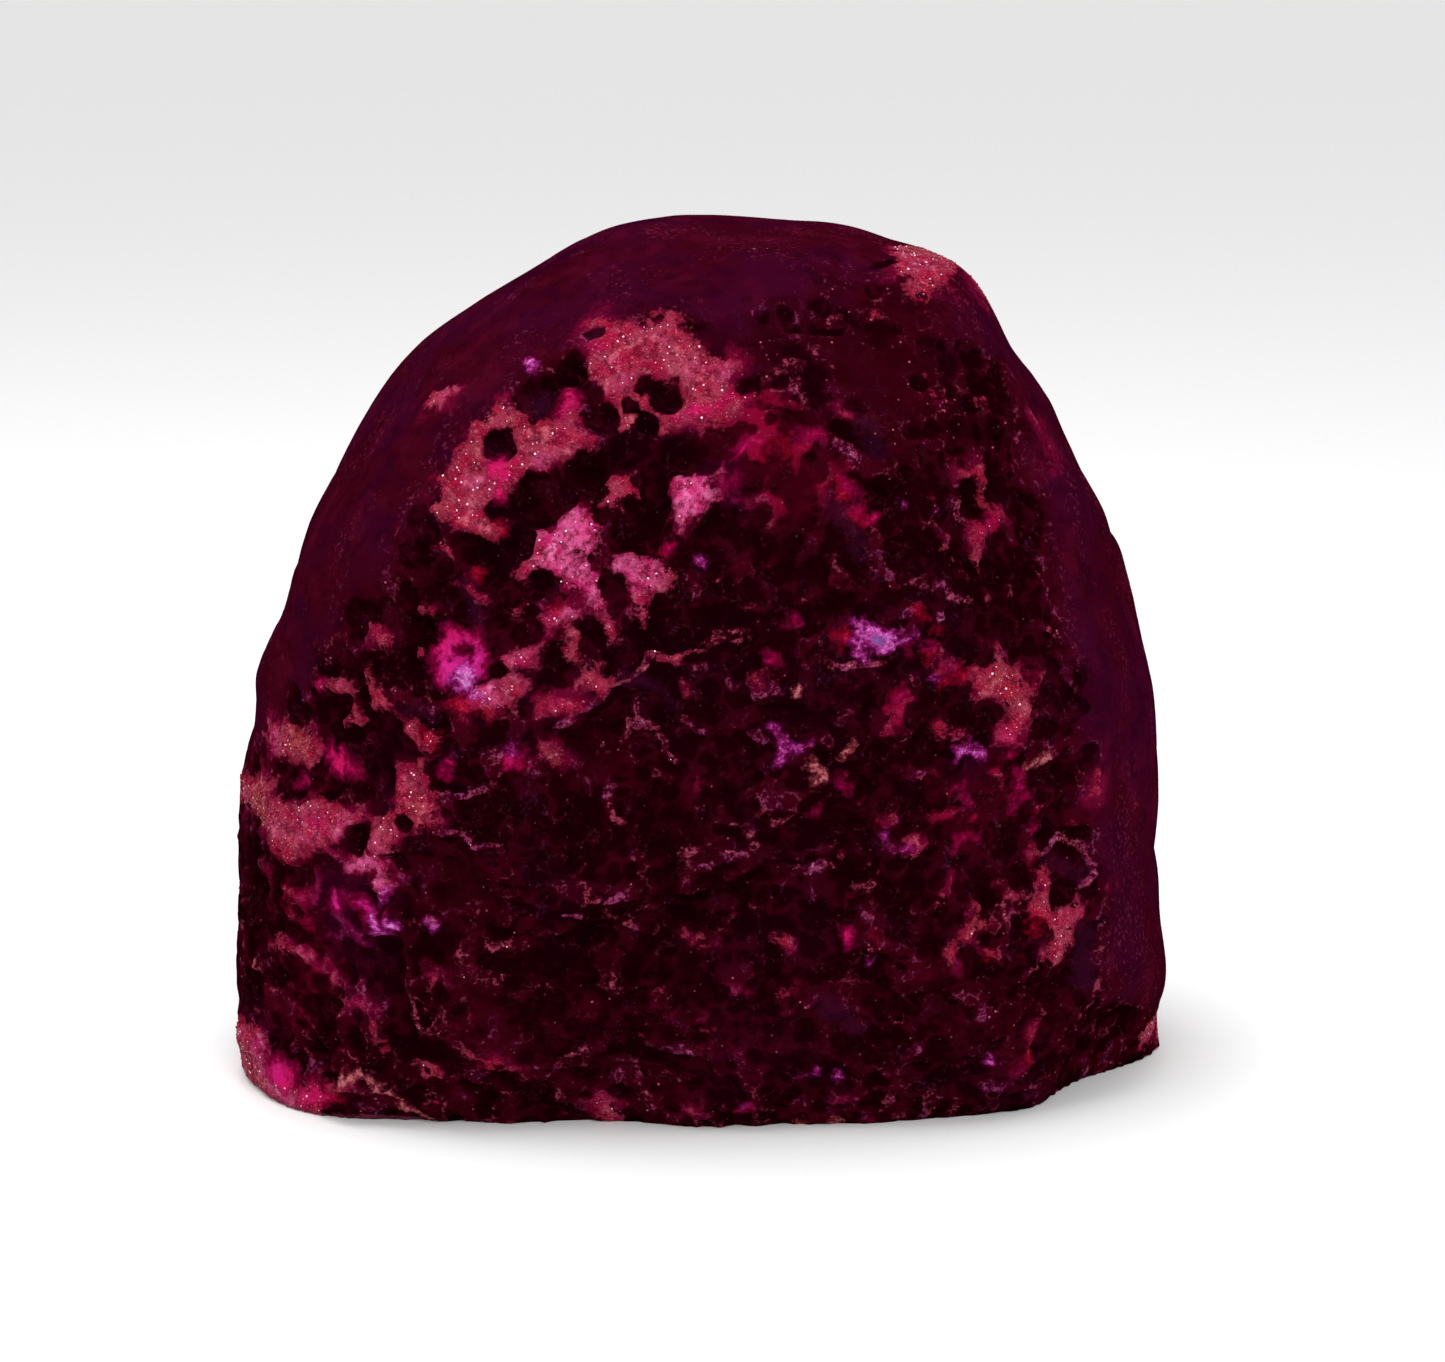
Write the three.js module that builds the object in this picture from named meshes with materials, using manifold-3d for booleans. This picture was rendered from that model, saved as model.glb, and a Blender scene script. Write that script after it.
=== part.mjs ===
// Agate geode: one dyed stone with its natural rough rind all round, sawn flat below so it stands.
// Millimetres, +Z up. The broad, most broken side of the rind faces -Y.
import * as THREE from 'three';
import { mergeVertices } from 'three/addons/utils/BufferGeometryUtils.js';
import Module from 'manifold-3d';

const wasm = await Module();
wasm.setup();

// Driving dimensions
const HEART = new THREE.Vector3(-0.8, 1.3, 37.5);
const FRONT_DEPTH = 34;
const REAR_DEPTH = 31;
const FULLNESS = 2.4;
const SKEW = 0.04;
const BODY_DETAIL = 14;
const CROWDING = 0.35;
const PIT_DETAIL = 1;
const SLIVER = 0.05;

// The outline seen from the front: radii from the heart, counterclockwise from +X in equal steps.
const OUTLINE = [
  50.8, 49.4, 49.2, 52.1, 56.2, 56, 54.9, 54, 51, 49.4, 47.2, 47.1,
  47.9, 52.4, 58.5, 64.6, 54, 47, 48, 51, 58, 64.6, 59.9, 51.7,
];

// Broad swellings and hollows of the front: [x, z, reach, rise]
const FRONT_LUMPS = [
  [26, 84, 7, 1.3],
  [23.5, 90, 4, 0.9],
  [33.5, 80, 4, -1.6],
  [41, 68, 3.5, 0.5],
  [44, 61, 3, -0.8],
  [46, 57.5, 3, 0.6],
  [48, 50, 4, 0.3],
  [47.5, -5, 6, 5],
  [44.5, 0, 9, -5],
  [24, 5, 12, 1.2],
  [-6, 2, 16, 3],
  [-45, 4, 6, 1],
  [-46, 46, 5, 0.9],
  [-34, 60, 12, 0.8],
  [-22.5, 86, 5, 0.4],
  [-12, 66, 8, -0.9],
  [14, 70, 10, 0.7],
  [31, 43, 6, -0.7],
  [-8, 41, 8, -1.8],
  [6, 35, 9, -0.8],
  [0, 22, 12, -0.8],
  [-26, 27.5, 4, -1],
];

// The rear has the same kind of rind in an arrangement of its own.
const REAR_LUMPS = [
  [-22, 66, 10, 1.1],
  [18, 58, 12, -1.2],
  [-6, 34, 11, 1],
  [30, 24, 9, 1.1],
  [-34, 22, 8, -1],
];

// Ledges stand proud of the front and channels are worn into it: a path of [x, z] for each.
const LEDGES = [
  { path: [[-16, 43.5], [-9, 48], [-5, 50.5], [3, 52.5]], reach: 2.2, rise: 1.3 },
  { path: [[-33, 31.5], [-26, 32], [-21, 30]], reach: 2, rise: 1.1 },
  { path: [[-38.5, 4], [-32, 7], [-28, 2]], reach: 2, rise: 1.1 },
  { path: [[-15, 25], [-2, 28], [10, 30.5]], reach: 2, rise: 1.1 },
  { path: [[-13, 18], [2, 18.5], [16, 21]], reach: 2, rise: 1 },
  { path: [[37.5, 66], [39.5, 50], [41, 30], [42.5, 13]], reach: 2.8, rise: 1 },
  { path: [[-43, 42], [-37, 53], [-30, 62], [-25, 69], [-13, 81]], reach: 2.8, rise: 0.9 },
  { path: [[-15, 40.5], [-9, 44.5], [4, 49.5]], reach: 2.2, rise: -1.6 },
  { path: [[-33, 19], [-31.5, 8]], reach: 2, rise: -1.6 },
  { path: [[-5, 69], [-5, 65]], reach: 1.8, rise: -1.4 },
  { path: [[-11, 22], [0, 24.5], [9, 27]], reach: 2, rise: -1.2 },
];

// Pits of the front, by where they sit: [x, z, radius]
const FRONT_PITS = [
  // the dark cluster under the top crust
  [-17, 66.5, 2.7], [-12, 70, 2.3], [-21, 71.5, 1.8], [-19, 63, 1.7], [-24.5, 62, 1.9],
  [-14, 79, 1.8], [-10.5, 75, 1.8], [-15.5, 75.5, 1.6], [-6, 78, 1.4], [-3.5, 77.5, 1.9],
  [-8, 72.5, 2.1], [-3, 72, 2.6], [-0.5, 69.5, 1.7], [-8, 63, 2.1], [-16, 59, 1.5],
  [-12, 57.5, 1.7],
  // the left edge
  [-39, 43, 2], [-43.5, 44.5, 1.9], [-35.5, 41.5, 1.5], [-33, 37.5, 1.5], [-35.5, 32, 1.7],
  [-47, 28, 1.7], [-39.5, 29, 1.5], [-46, 6, 1.5], [-34, 18.5, 1.5],
  // the right side
  [30, 43, 1.7], [25.5, 46, 1.8], [38, 44.5, 1.5], [40, 39, 1.5], [29, 25, 1.8],
  [32, 21.5, 2], [38, 23, 1.5], [30, 66.5, 1.8], [28, 77, 1.4], [10, 45.5, 1.5],
  // the dark lower middle
  [7, 28.5, 1.5], [0.5, 27.5, 1.6], [-9, 25, 1.4], [-14, 18.5, 1.5], [8, 19, 1.4], [-5, 9, 1.8],
  [18, 15, 1.5], [16, 35, 1.6], [22, 56, 1.5], [12, 60, 1.6], [-22, 52, 1.6], [-26, 37, 1.5],
];

// Pits of the rear are spread by a fixed rule.
const REAR_PITS = 18;
const REAR_PITS_LEFT = -38;
const REAR_PITS_WIDTH = 76;
const REAR_PITS_LOW = 6;
const REAR_PITS_HEIGHT = 68;
const REAR_PIT_SMALL = 1.4;
const REAR_PIT_SPAN = 1.3;
const PIT_SINK = 0.25;

// Slow unevenness of the whole rind
const ROLL = [
  { wave: [0.21, 0.05, 0.17], shift: 0.4, rise: 0.45 },
  { wave: [-0.13, 0.24, 0.19], shift: 2.1, rise: 0.4 },
  { wave: [0.34, -0.18, -0.29], shift: 4.4, rise: 0.25 },
  { wave: [0.11, 0.41, -0.37], shift: 1.3, rise: 0.2 },
];

const STONE_COLOR = 0x4b0b26;
const STONE_ROUGHNESS = 0.4;

/** Radius of the outline at an angle, smooth through its equally spaced radii. */
function outlineRadius(angle) {
  const count = OUTLINE.length;
  const turn = (angle / (2 * Math.PI)) * count;
  const start = Math.floor(turn);
  const at = (offset) => OUTLINE[(((start + offset) % count) + count) % count];
  const [before, from, to, after] = [at(-1), at(0), at(1), at(2)];
  const t = turn - start;
  const slope = to - before;
  const bend = 2 * before - 5 * from + 4 * to - after;
  const twist = 3 * (from - to) + after - before;
  return from + 0.5 * t * (slope + t * (bend + t * twist));
}

/** The smooth body's point along a unit direction from the heart. */
function bodyPoint(direction) {
  const flat = Math.hypot(direction.x, direction.z);
  const depth = direction.y < 0 ? FRONT_DEPTH : REAR_DEPTH;
  const rim = outlineRadius(Math.atan2(direction.z, direction.x));
  const sum = (flat / rim) ** FULLNESS + (Math.abs(direction.y) / depth) ** FULLNESS;
  const point = direction.clone().multiplyScalar(sum ** (-1 / FULLNESS));
  point.y += SKEW * point.x;
  return point.add(HEART);
}

/** The smooth body's point straight ahead of (side -1) or behind (side +1) x, z. */
function facePoint(x, z, side) {
  const across = x - HEART.x;
  const up = z - HEART.z;
  const rim = outlineRadius(Math.atan2(up, across));
  const share = Math.min(Math.hypot(across, up) / rim, 1);
  const depth = side < 0 ? FRONT_DEPTH : REAR_DEPTH;
  const out = depth * (1 - share ** FULLNESS) ** (1 / FULLNESS);
  return new THREE.Vector3(x, HEART.y + side * out + SKEW * across, z);
}

function bell(distance, reach) {
  return Math.exp(-((distance / reach) ** 2));
}

const lumps = [
  ...FRONT_LUMPS.map((lump) => ({ lump, side: -1 })),
  ...REAR_LUMPS.map((lump) => ({ lump, side: 1 })),
].map(({ lump: [x, z, reach, rise], side }) => ({ at: facePoint(x, z, side), reach, rise }));

const ledgeSegments = LEDGES.map(({ path, reach, rise }) => {
  const points = path.map(([x, z]) => facePoint(x, z, -1));
  const segments = points.slice(1).map((end, i) => new THREE.Line3(points[i], end));
  return { segments, reach, rise };
});

/** How far the rind stands out from the smooth body at a point of it. */
function rindRise(point) {
  let rise = 0;
  for (const { wave, shift, rise: height } of ROLL) {
    rise += height * Math.sin(point.dot(new THREE.Vector3(...wave)) + shift);
  }
  for (const lump of lumps) {
    rise += lump.rise * bell(point.distanceTo(lump.at), lump.reach);
  }
  const nearest = new THREE.Vector3();
  for (const ledge of ledgeSegments) {
    const distances = ledge.segments.map((segment) => {
      segment.closestPointToPoint(point, true, nearest);
      return nearest.distanceTo(point);
    });
    rise += ledge.rise * bell(Math.min(...distances), ledge.reach);
  }
  return rise;
}

/** A geometry as a manifold solid. */
function solidOf(geometry) {
  const bare = new THREE.BufferGeometry();
  bare.setAttribute('position', geometry.getAttribute('position'));
  const merged = mergeVertices(bare);
  return new wasm.Manifold(new wasm.Mesh({
    numProp: 3,
    vertProperties: new Float32Array(merged.getAttribute('position').array),
    triVerts: new Uint32Array(merged.getIndex().array),
  }));
}

/** Turns a unit direction towards the front, so that facets are smaller there than at the rear. */
function crowdForward(direction) {
  const ahead = -direction.y;
  const turned = (ahead + CROWDING) / (1 + CROWDING * ahead);
  const squeeze = Math.sqrt((1 - turned ** 2) / Math.max(1 - ahead ** 2, Number.EPSILON));
  direction.set(direction.x * squeeze, -turned, direction.z * squeeze);
}

/** The closed rind, before its pits and its sawn base. */
function rindSolid() {
  const geometry = new THREE.IcosahedronGeometry(1, BODY_DETAIL);
  const position = geometry.getAttribute('position');
  const direction = new THREE.Vector3();
  for (let i = 0; i < position.count; i += 1) {
    direction.fromBufferAttribute(position, i).normalize();
    crowdForward(direction);
    const point = bodyPoint(direction);
    const outward = point.clone().sub(HEART).normalize();
    point.addScaledVector(outward, rindRise(point));
    position.setXYZ(i, point.x, point.y, point.z);
  }
  return solidOf(geometry);
}

/** The ball that hollows one pit, sunk so that its mouth is a little wider than it is deep. */
function pitSolid(x, z, radius, side) {
  const point = facePoint(x, z, side);
  const outward = point.clone().sub(HEART).normalize();
  point.addScaledVector(outward, rindRise(point) + PIT_SINK * radius);
  const ball = new THREE.IcosahedronGeometry(radius, PIT_DETAIL);
  ball.translate(point.x, point.y, point.z);
  return solidOf(ball);
}

function rearPits() {
  const spread = (k, step) => (k * step) % 1;
  return Array.from({ length: REAR_PITS }, (_, k) => {
    const x = REAR_PITS_LEFT + REAR_PITS_WIDTH * spread(k + 1, 0.7549);
    const z = REAR_PITS_LOW + REAR_PITS_HEIGHT * spread(k + 1, 0.5698);
    return [x, z, REAR_PIT_SMALL + REAR_PIT_SPAN * spread(k + 1, 0.618)];
  });
}

/** The whole stone: the rind, hollowed by its pits and sawn flat at its base. */
function stoneSolid() {
  const balls = [
    ...FRONT_PITS.map(([x, z, radius]) => pitSolid(x, z, radius, -1)),
    ...rearPits().map(([x, z, radius]) => pitSolid(x, z, radius, 1)),
  ];
  const pits = wasm.Manifold.union(balls);
  return rindSolid().subtract(pits).trimByPlane([0, 0, 1], 0).simplify(SLIVER);
}

function meshOf(name, solid, material) {
  const { vertProperties, triVerts } = solid.getMesh();
  const geometry = new THREE.BufferGeometry();
  geometry.setAttribute('position', new THREE.BufferAttribute(vertProperties, 3));
  geometry.setIndex(new THREE.BufferAttribute(triVerts, 1));
  geometry.computeVertexNormals();
  const mesh = new THREE.Mesh(geometry, material);
  mesh.name = name;
  return mesh;
}

const stone = new THREE.MeshStandardMaterial({
  color: STONE_COLOR,
  roughness: STONE_ROUGHNESS,
  metalness: 0,
});

const geode = new THREE.Group();
geode.add(meshOf('geode', stoneSolid(), stone));

export default geode;
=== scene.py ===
"""The looks of the agate geode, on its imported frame. Metres, +Z up, the pocked front faces -Y."""
import math

import bpy
import numpy as np
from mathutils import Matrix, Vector, kdtree, noise


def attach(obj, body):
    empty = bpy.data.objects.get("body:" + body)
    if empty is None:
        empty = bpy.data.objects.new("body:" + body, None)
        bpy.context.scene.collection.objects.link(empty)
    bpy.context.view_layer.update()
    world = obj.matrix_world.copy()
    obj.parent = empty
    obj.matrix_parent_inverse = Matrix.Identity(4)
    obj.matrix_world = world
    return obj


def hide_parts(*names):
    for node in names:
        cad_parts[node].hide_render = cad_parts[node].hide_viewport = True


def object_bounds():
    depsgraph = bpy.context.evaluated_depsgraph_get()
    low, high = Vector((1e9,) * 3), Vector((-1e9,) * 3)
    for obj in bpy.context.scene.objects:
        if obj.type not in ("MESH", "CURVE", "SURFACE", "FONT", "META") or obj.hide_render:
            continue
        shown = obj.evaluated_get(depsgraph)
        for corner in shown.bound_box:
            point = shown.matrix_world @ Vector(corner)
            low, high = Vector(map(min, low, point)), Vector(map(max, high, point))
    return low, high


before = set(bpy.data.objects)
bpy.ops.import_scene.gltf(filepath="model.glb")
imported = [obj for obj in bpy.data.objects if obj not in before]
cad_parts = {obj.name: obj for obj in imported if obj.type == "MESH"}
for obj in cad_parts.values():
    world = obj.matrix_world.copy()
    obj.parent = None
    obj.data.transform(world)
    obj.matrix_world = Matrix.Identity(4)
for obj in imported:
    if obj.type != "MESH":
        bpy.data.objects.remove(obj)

CAD_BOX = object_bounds()
MM = 0.001

# The stone's form, as its solid has it, in millimetres
HEART = np.array([-0.8, 1.3, 37.5])
FRONT_DEPTH = 34.0
REAR_DEPTH = 31.0
FULLNESS = 2.4
SKEW = 0.04
OUTLINE = np.array([
    50.8, 49.4, 49.2, 52.1, 56.2, 56, 54.9, 54, 51, 49.4, 47.2, 47.1,
    47.9, 52.4, 58.5, 64.6, 54, 47, 48, 51, 58, 64.6, 59.9, 51.7,
])
# Long rolls over the whole stone, each (its wave, shift, height)
ROLL = [
    ((0.21, 0.05, 0.17), 0.4, 0.45),
    ((-0.13, 0.24, 0.19), 2.1, 0.4),
    ((0.34, -0.18, -0.29), 4.4, 0.25),
    ((0.11, 0.41, -0.37), 1.3, 0.2),
]
# Lumps and hollows, each (x, z, reach, height)
FRONT_LUMPS = [
    (26, 84, 7, 1.3), (23.5, 90, 4, 0.9), (33.5, 80, 4, -1.6), (41, 68, 3.5, 0.5), (44, 61, 3, -0.8),
    (46, 57.5, 3, 0.6), (48, 50, 4, 0.3), (47.5, -5, 6, 5), (44.5, 0, 9, -5), (24, 5, 12, 1.2),
    (-6, 2, 16, 3), (-45, 4, 6, 1), (-46, 46, 5, 0.9), (-34, 60, 12, 0.8), (-22.5, 86, 5, 0.4),
    (-12, 66, 8, -0.9), (14, 70, 10, 0.7), (31, 43, 6, -0.7), (-8, 41, 8, -1.8), (6, 35, 9, -0.8),
    (0, 22, 12, -0.8), (-26, 27.5, 4, -1),
]
REAR_LUMPS = [
    (-22, 66, 10, 1.1), (18, 58, 12, -1.2), (-6, 34, 11, 1), (30, 24, 9, 1.1), (-34, 22, 8, -1),
]
# Raised ledges and worn channels of the front, each (its path, reach, height)
LEDGES = [
    ([(-16, 43.5), (-9, 48), (-5, 50.5), (3, 52.5)], 2.2, 1.3),
    ([(-33, 31.5), (-26, 32), (-21, 30)], 2, 1.1),
    ([(-38.5, 4), (-32, 7), (-28, 2)], 2, 1.1),
    ([(-15, 25), (-2, 28), (10, 30.5)], 2, 1.1),
    ([(-13, 18), (2, 18.5), (16, 21)], 2, 1),
    ([(37.5, 66), (39.5, 50), (41, 30), (42.5, 13)], 2.8, 1),
    ([(-43, 42), (-37, 53), (-30, 62), (-25, 69), (-13, 81)], 2.8, 0.9),
    ([(-15, 40.5), (-9, 44.5), (4, 49.5)], 2.2, -1.6),
    ([(-33, 19), (-31.5, 8)], 2, -1.6),
    ([(-5, 69), (-5, 65)], 1.8, -1.4),
    ([(-11, 22), (0, 24.5), (9, 27)], 2, -1.2),
]

# The mesh: squares along each side of the cube that is rounded into the stone
SQUARES = 128
CROWDING = 0.42

# Where the rind is broken and pocked; the rest is smooth skin. Outlines are (x, z) from the front.
FRONT_POCKED = [
    (-60, 33), (-49, 36), (-38.5, 50), (-31, 60), (-27, 67), (-21, 74.5), (-12, 82.5), (-8, 84.5), (-1, 84),
    (4, 82.5), (8, 86), (14, 89), (20, 86), (31, 79), (34.5, 70), (37, 59), (38.5, 44.5), (40.5, 28.5),
    (43, 12), (52, 5), (60, -10), (-60, -10),
]
REAR_POCKED = [
    (-60, 30), (-44, 44), (-30, 66), (-12, 76), (6, 70), (22, 76), (34, 58), (28, 38), (42, 24), (60, 6),
    (60, -10), (-60, -10),
]

# Quartz sugar on the front, by its outlines
SUGAR_PATCHES = [
    [(-12.5, 83.5), (-11, 84.7), (-8.5, 84), (-6, 83.4), (-3, 84.8), (-2, 83.3), (0, 82), (0.5, 81),
     (3.6, 80.6), (3, 78.5), (3.5, 77.5), (5, 77), (3.5, 75), (1.5, 74.2), (0.3, 73.2), (-1, 74.5),
     (-4.8, 74), (-5.5, 76), (-7, 74), (-9.5, 74), (-9.3, 75.5), (-12.7, 79), (-11.5, 81)],
    [(-21.5, 74), (-19.3, 75.2), (-17, 74), (-14.8, 74.5), (-13.5, 77), (-12.7, 75), (-10.7, 72.8),
     (-14, 70.8), (-17, 69.6), (-19.5, 68), (-20, 65), (-20.8, 62.8), (-23.5, 63), (-27, 65.3), (-26, 68),
     (-23, 72.3)],
    [(-18, 64), (-15.5, 65), (-13.5, 66.5), (-12, 67), (-11, 65.8), (-9.8, 65.3), (-10.5, 63.2),
     (-11, 61.5), (-12.8, 61.3), (-11, 60.3), (-9.7, 59), (-9.5, 57.5), (-10.3, 55.5), (-11.5, 56.3),
     (-12, 58), (-14, 58), (-15.5, 60), (-17.5, 59.5), (-18.5, 58.5), (-19.5, 60), (-18.3, 61.5),
     (-18.2, 63)],
    [(-10, 69.3), (-9, 70), (-7.7, 69.8), (-6.5, 68.5), (-6.2, 67.2), (-7.8, 67.3), (-8, 66), (-9.5, 66.5),
     (-10.5, 67)],
    [(-3.8, 70), (-2.5, 70), (-1.5, 69), (-0.3, 70), (0.5, 68.5), (2, 68), (0.8, 67), (0, 66), (-1, 65),
     (-2, 63.5), (-3, 64.5), (-3, 66), (-3.7, 68)],
    [(-10, 60.7), (-9, 61.5), (-7, 62), (-6, 61), (-4.7, 61.5), (-3.5, 60.5), (-2.2, 59.5), (-3.3, 58.3),
     (-5, 58), (-5.5, 56), (-6, 54.7), (-7.3, 56), (-7.3, 58), (-8, 59.8)],
    [(-22.5, 48.3), (-20, 49.2), (-17.5, 49), (-18, 47.5), (-20, 46.2), (-22, 45.2), (-24, 46)],
    [(-20.5, 51), (-18, 52.5), (-16.2, 52.5), (-17, 50.8), (-19, 50), (-20.5, 50.3)],
    [(-34.7, 48.5), (-33.5, 48.8), (-32.5, 47), (-31.5, 46), (-31.3, 44.8), (-33, 44.7), (-34.5, 45.3),
     (-34, 46.5)],
    [(-46.5, 40.5), (-43.5, 42), (-41, 41.5), (-40, 39.5), (-41.5, 38), (-45, 37.5), (-46.5, 38.5)],
    [(-50.5, 33), (-48.5, 34), (-47, 35.5), (-45.5, 35.5), (-45, 34), (-42.5, 34), (-40, 35), (-37, 34.5),
     (-34.5, 34), (-36.5, 32.3), (-37.5, 31), (-40, 30), (-41.5, 28.5), (-43, 27.5), (-44.5, 28.5),
     (-45.5, 30), (-48, 30.5), (-50.5, 30.5)],
    [(-31.7, 39.2), (-28, 40.3), (-28.8, 37.8), (-27.7, 36.5), (-27, 34), (-29.5, 33.3), (-31.2, 31.8),
     (-32.5, 30.5), (-32.2, 26.8), (-33.5, 25.2), (-34.4, 26.5), (-33.9, 28.8), (-35.5, 28), (-37.5, 29),
     (-36, 30), (-33.6, 31), (-34.3, 33.7), (-32, 34.8), (-32.3, 36.5)],
    [(-13.2, 50.8), (-10.8, 51), (-10.5, 49.8), (-9.5, 49.5), (-9.8, 47.3), (-11.3, 48.3), (-13, 48.5)],
    [(-17.5, 47), (-14, 48), (-12.5, 47), (-12.2, 45.7), (-14, 46), (-17, 45.7)],
    [(-55, 6.2), (-48, 8), (-46.5, 6.5), (-46.8, 3.8), (-44, 3), (-42, 3.6), (-39.5, 4.3), (-38, 5.3),
     (-35.8, 6), (-36.8, 4.4), (-39, 3.2), (-39.8, 1.3), (-42, -1), (-55, -1)],
    [(30, 51.7), (31, 50.5), (31.3, 49.3), (32.7, 48.7), (32.8, 47.3), (33.3, 46), (34.3, 44), (33.5, 43),
     (33.5, 42), (31.7, 40.5), (30.7, 41), (30.7, 42.5), (31.8, 44), (31.5, 45), (30, 45.8), (28.3, 45.8),
     (27.6, 47), (27.5, 49), (28.7, 49.2), (29.5, 50.3)],
    [(35.2, 26.8), (36.8, 27.2), (36.5, 24.5), (37, 22.6), (39.4, 24), (39.5, 22.2), (38.5, 20.5),
     (38.7, 18.8), (37.8, 17.2), (36, 16.8), (35.2, 18.5), (36.3, 20.5), (34, 22), (33.9, 24), (35.2, 25)],
    [(20, 95), (19.3, 87), (21, 85.7), (23, 85), (25, 85.7), (26.5, 86.4), (28, 84.6), (29.5, 83),
     (31.5, 82.5), (34, 86), (27, 95)],
]
# Strokes are each (reach, then the points of the path)
SUGAR_STROKES = [
    (1.3, (-27.5, 75), (-26, 75.5)), (0.9, (-26, 61.5)), (0.8, (-19, 55.5)),
    (0.7, (-24, 57.5), (-22.5, 57)), (1.1, (-15.5, 55), (-13, 55.8)),
    (0.8, (-14.3, 55), (-13.5, 53.5), (-13, 51.8)), (0.65, (-9.5, 55), (-9.3, 53.4)),
    (1, (-33, 52.8), (-32, 51.5)), (0.7, (-28.7, 51)), (0.7, (-28, 55.5)),
    (0.75, (-40, 46), (-37.5, 47), (-36, 45.5), (-35.8, 43.5), (-36.8, 43)),
    (1, (-29.5, 43.5), (-28.2, 41.7), (-27, 42.7)), (1.1, (-15.8, 41.5)),
    (0.75, (-4.7, 51.7), (-2.7, 51.2)), (0.6, (5, 49.4), (6, 49.3)), (0.5, (-2, 48)),
    (0.75, (-46, 18.5), (-42.3, 18.3), (-41.7, 17.2)), (0.7, (-39.5, 15.7)),
    (0.38, (-38, 13.5), (-35, 13.5), (-34, 11), (-33, 9)), (0.52, (-46, 26)),
    (0.52, (-43, 24.8), (-41, 24.2), (-40, 26.5)), (1.5, (-28.5, 7.5)),
    (0.39, (-24, 10), (-22.5, 9.2), (-19, 8)), (0.45, (-27, 18)), (0.39, (-23.5, 18.8)),
    (0.6, (23.5, 49.3), (25, 48.8), (27, 49.8)), (0.5, (33.5, 46.3), (35, 47.8)),
    (0.45, (21, 47), (20, 45), (19, 43.5)), (0.5, (24, 44), (25, 42.7), (27, 42.5)), (0.9, (19.3, 34.5)),
    (1.1, (22, 31.7)), (0.5, (40.5, 37), (40.4, 34.5)), (0.52, (28.3, 25), (28, 23), (30.3, 22.8)),
    (0.52, (28, 22.8), (26, 21.5), (24.8, 19.5)), (0.52, (28.3, 20), (30, 19.5)),
    (0.52, (31.5, 26), (32.5, 24.7), (34.3, 24.4)), (0.45, (34.5, 28.2), (35.2, 29.3), (35.8, 27.8)),
    (0.49, (24.3, 26.3), (25.8, 27.2)), (1.6, (50.5, 5), (49.5, 2.5)), (0.39, (34, 7.7), (34.8, 10.5)),
    (1, (28, 63), (29.5, 63.3), (31.2, 64.8)), (0.6, (28.8, 61.5), (29, 59.5)),
    (0.6, (26.5, 68.8), (29, 69), (30, 67.5), (29.5, 66)), (0.6, (28.3, 75.3), (29.7, 75)),
    (0.45, (25, 62), (26, 60)), (0.5, (23.3, 78.5), (23.5, 76.7)), (0.7, (14.2, 74.8)),
    (0.55, (34, 73.2), (34.8, 71.8)), (0.4, (36, 69.5)), (0.5, (36, 67.7)), (0.7, (18, 84.7)),
    (0.36, (-1.3, 22), (1, 20.8)), (0.36, (3.7, 23.5)), (0.49, (7.4, 22), (8.8, 21.4)), (0.45, (-4, 17)),
    (0.39, (-4, 14)), (0.3, (3.2, 16.5), (4.3, 15.9)), (0.33, (8, 16), (8.7, 16.7)),
    (0.3, (0, 12.3), (1, 13)), (0.36, (-6.7, 11.5)), (0.52, (-2, 4.2), (-0.8, 4.2)),
    (1.4, (-10, 3.7), (-9.7, 2.5)), (0.39, (-11, 1.2)), (0.33, (-14, 2.3)), (0.52, (17.5, 0.7)),
    (0.52, (13.3, 4.3)), (0.6, (-1, 38)), (0.39, (14.3, 30.3)), (0.52, (33, 5.5)), (0.52, (-27.5, 3.5)),
    (0.52, (-19.5, 1.5)),
]
# The chipped edge of the sawn base
CHIP_STROKES = [
    (0.45, (-48.2, 0.8), (-46, 0.4), (-41.8, 0.3), (-38, 0.4), (-35, 0.2), (-30, 0), (-24, 0)),
]
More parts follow.
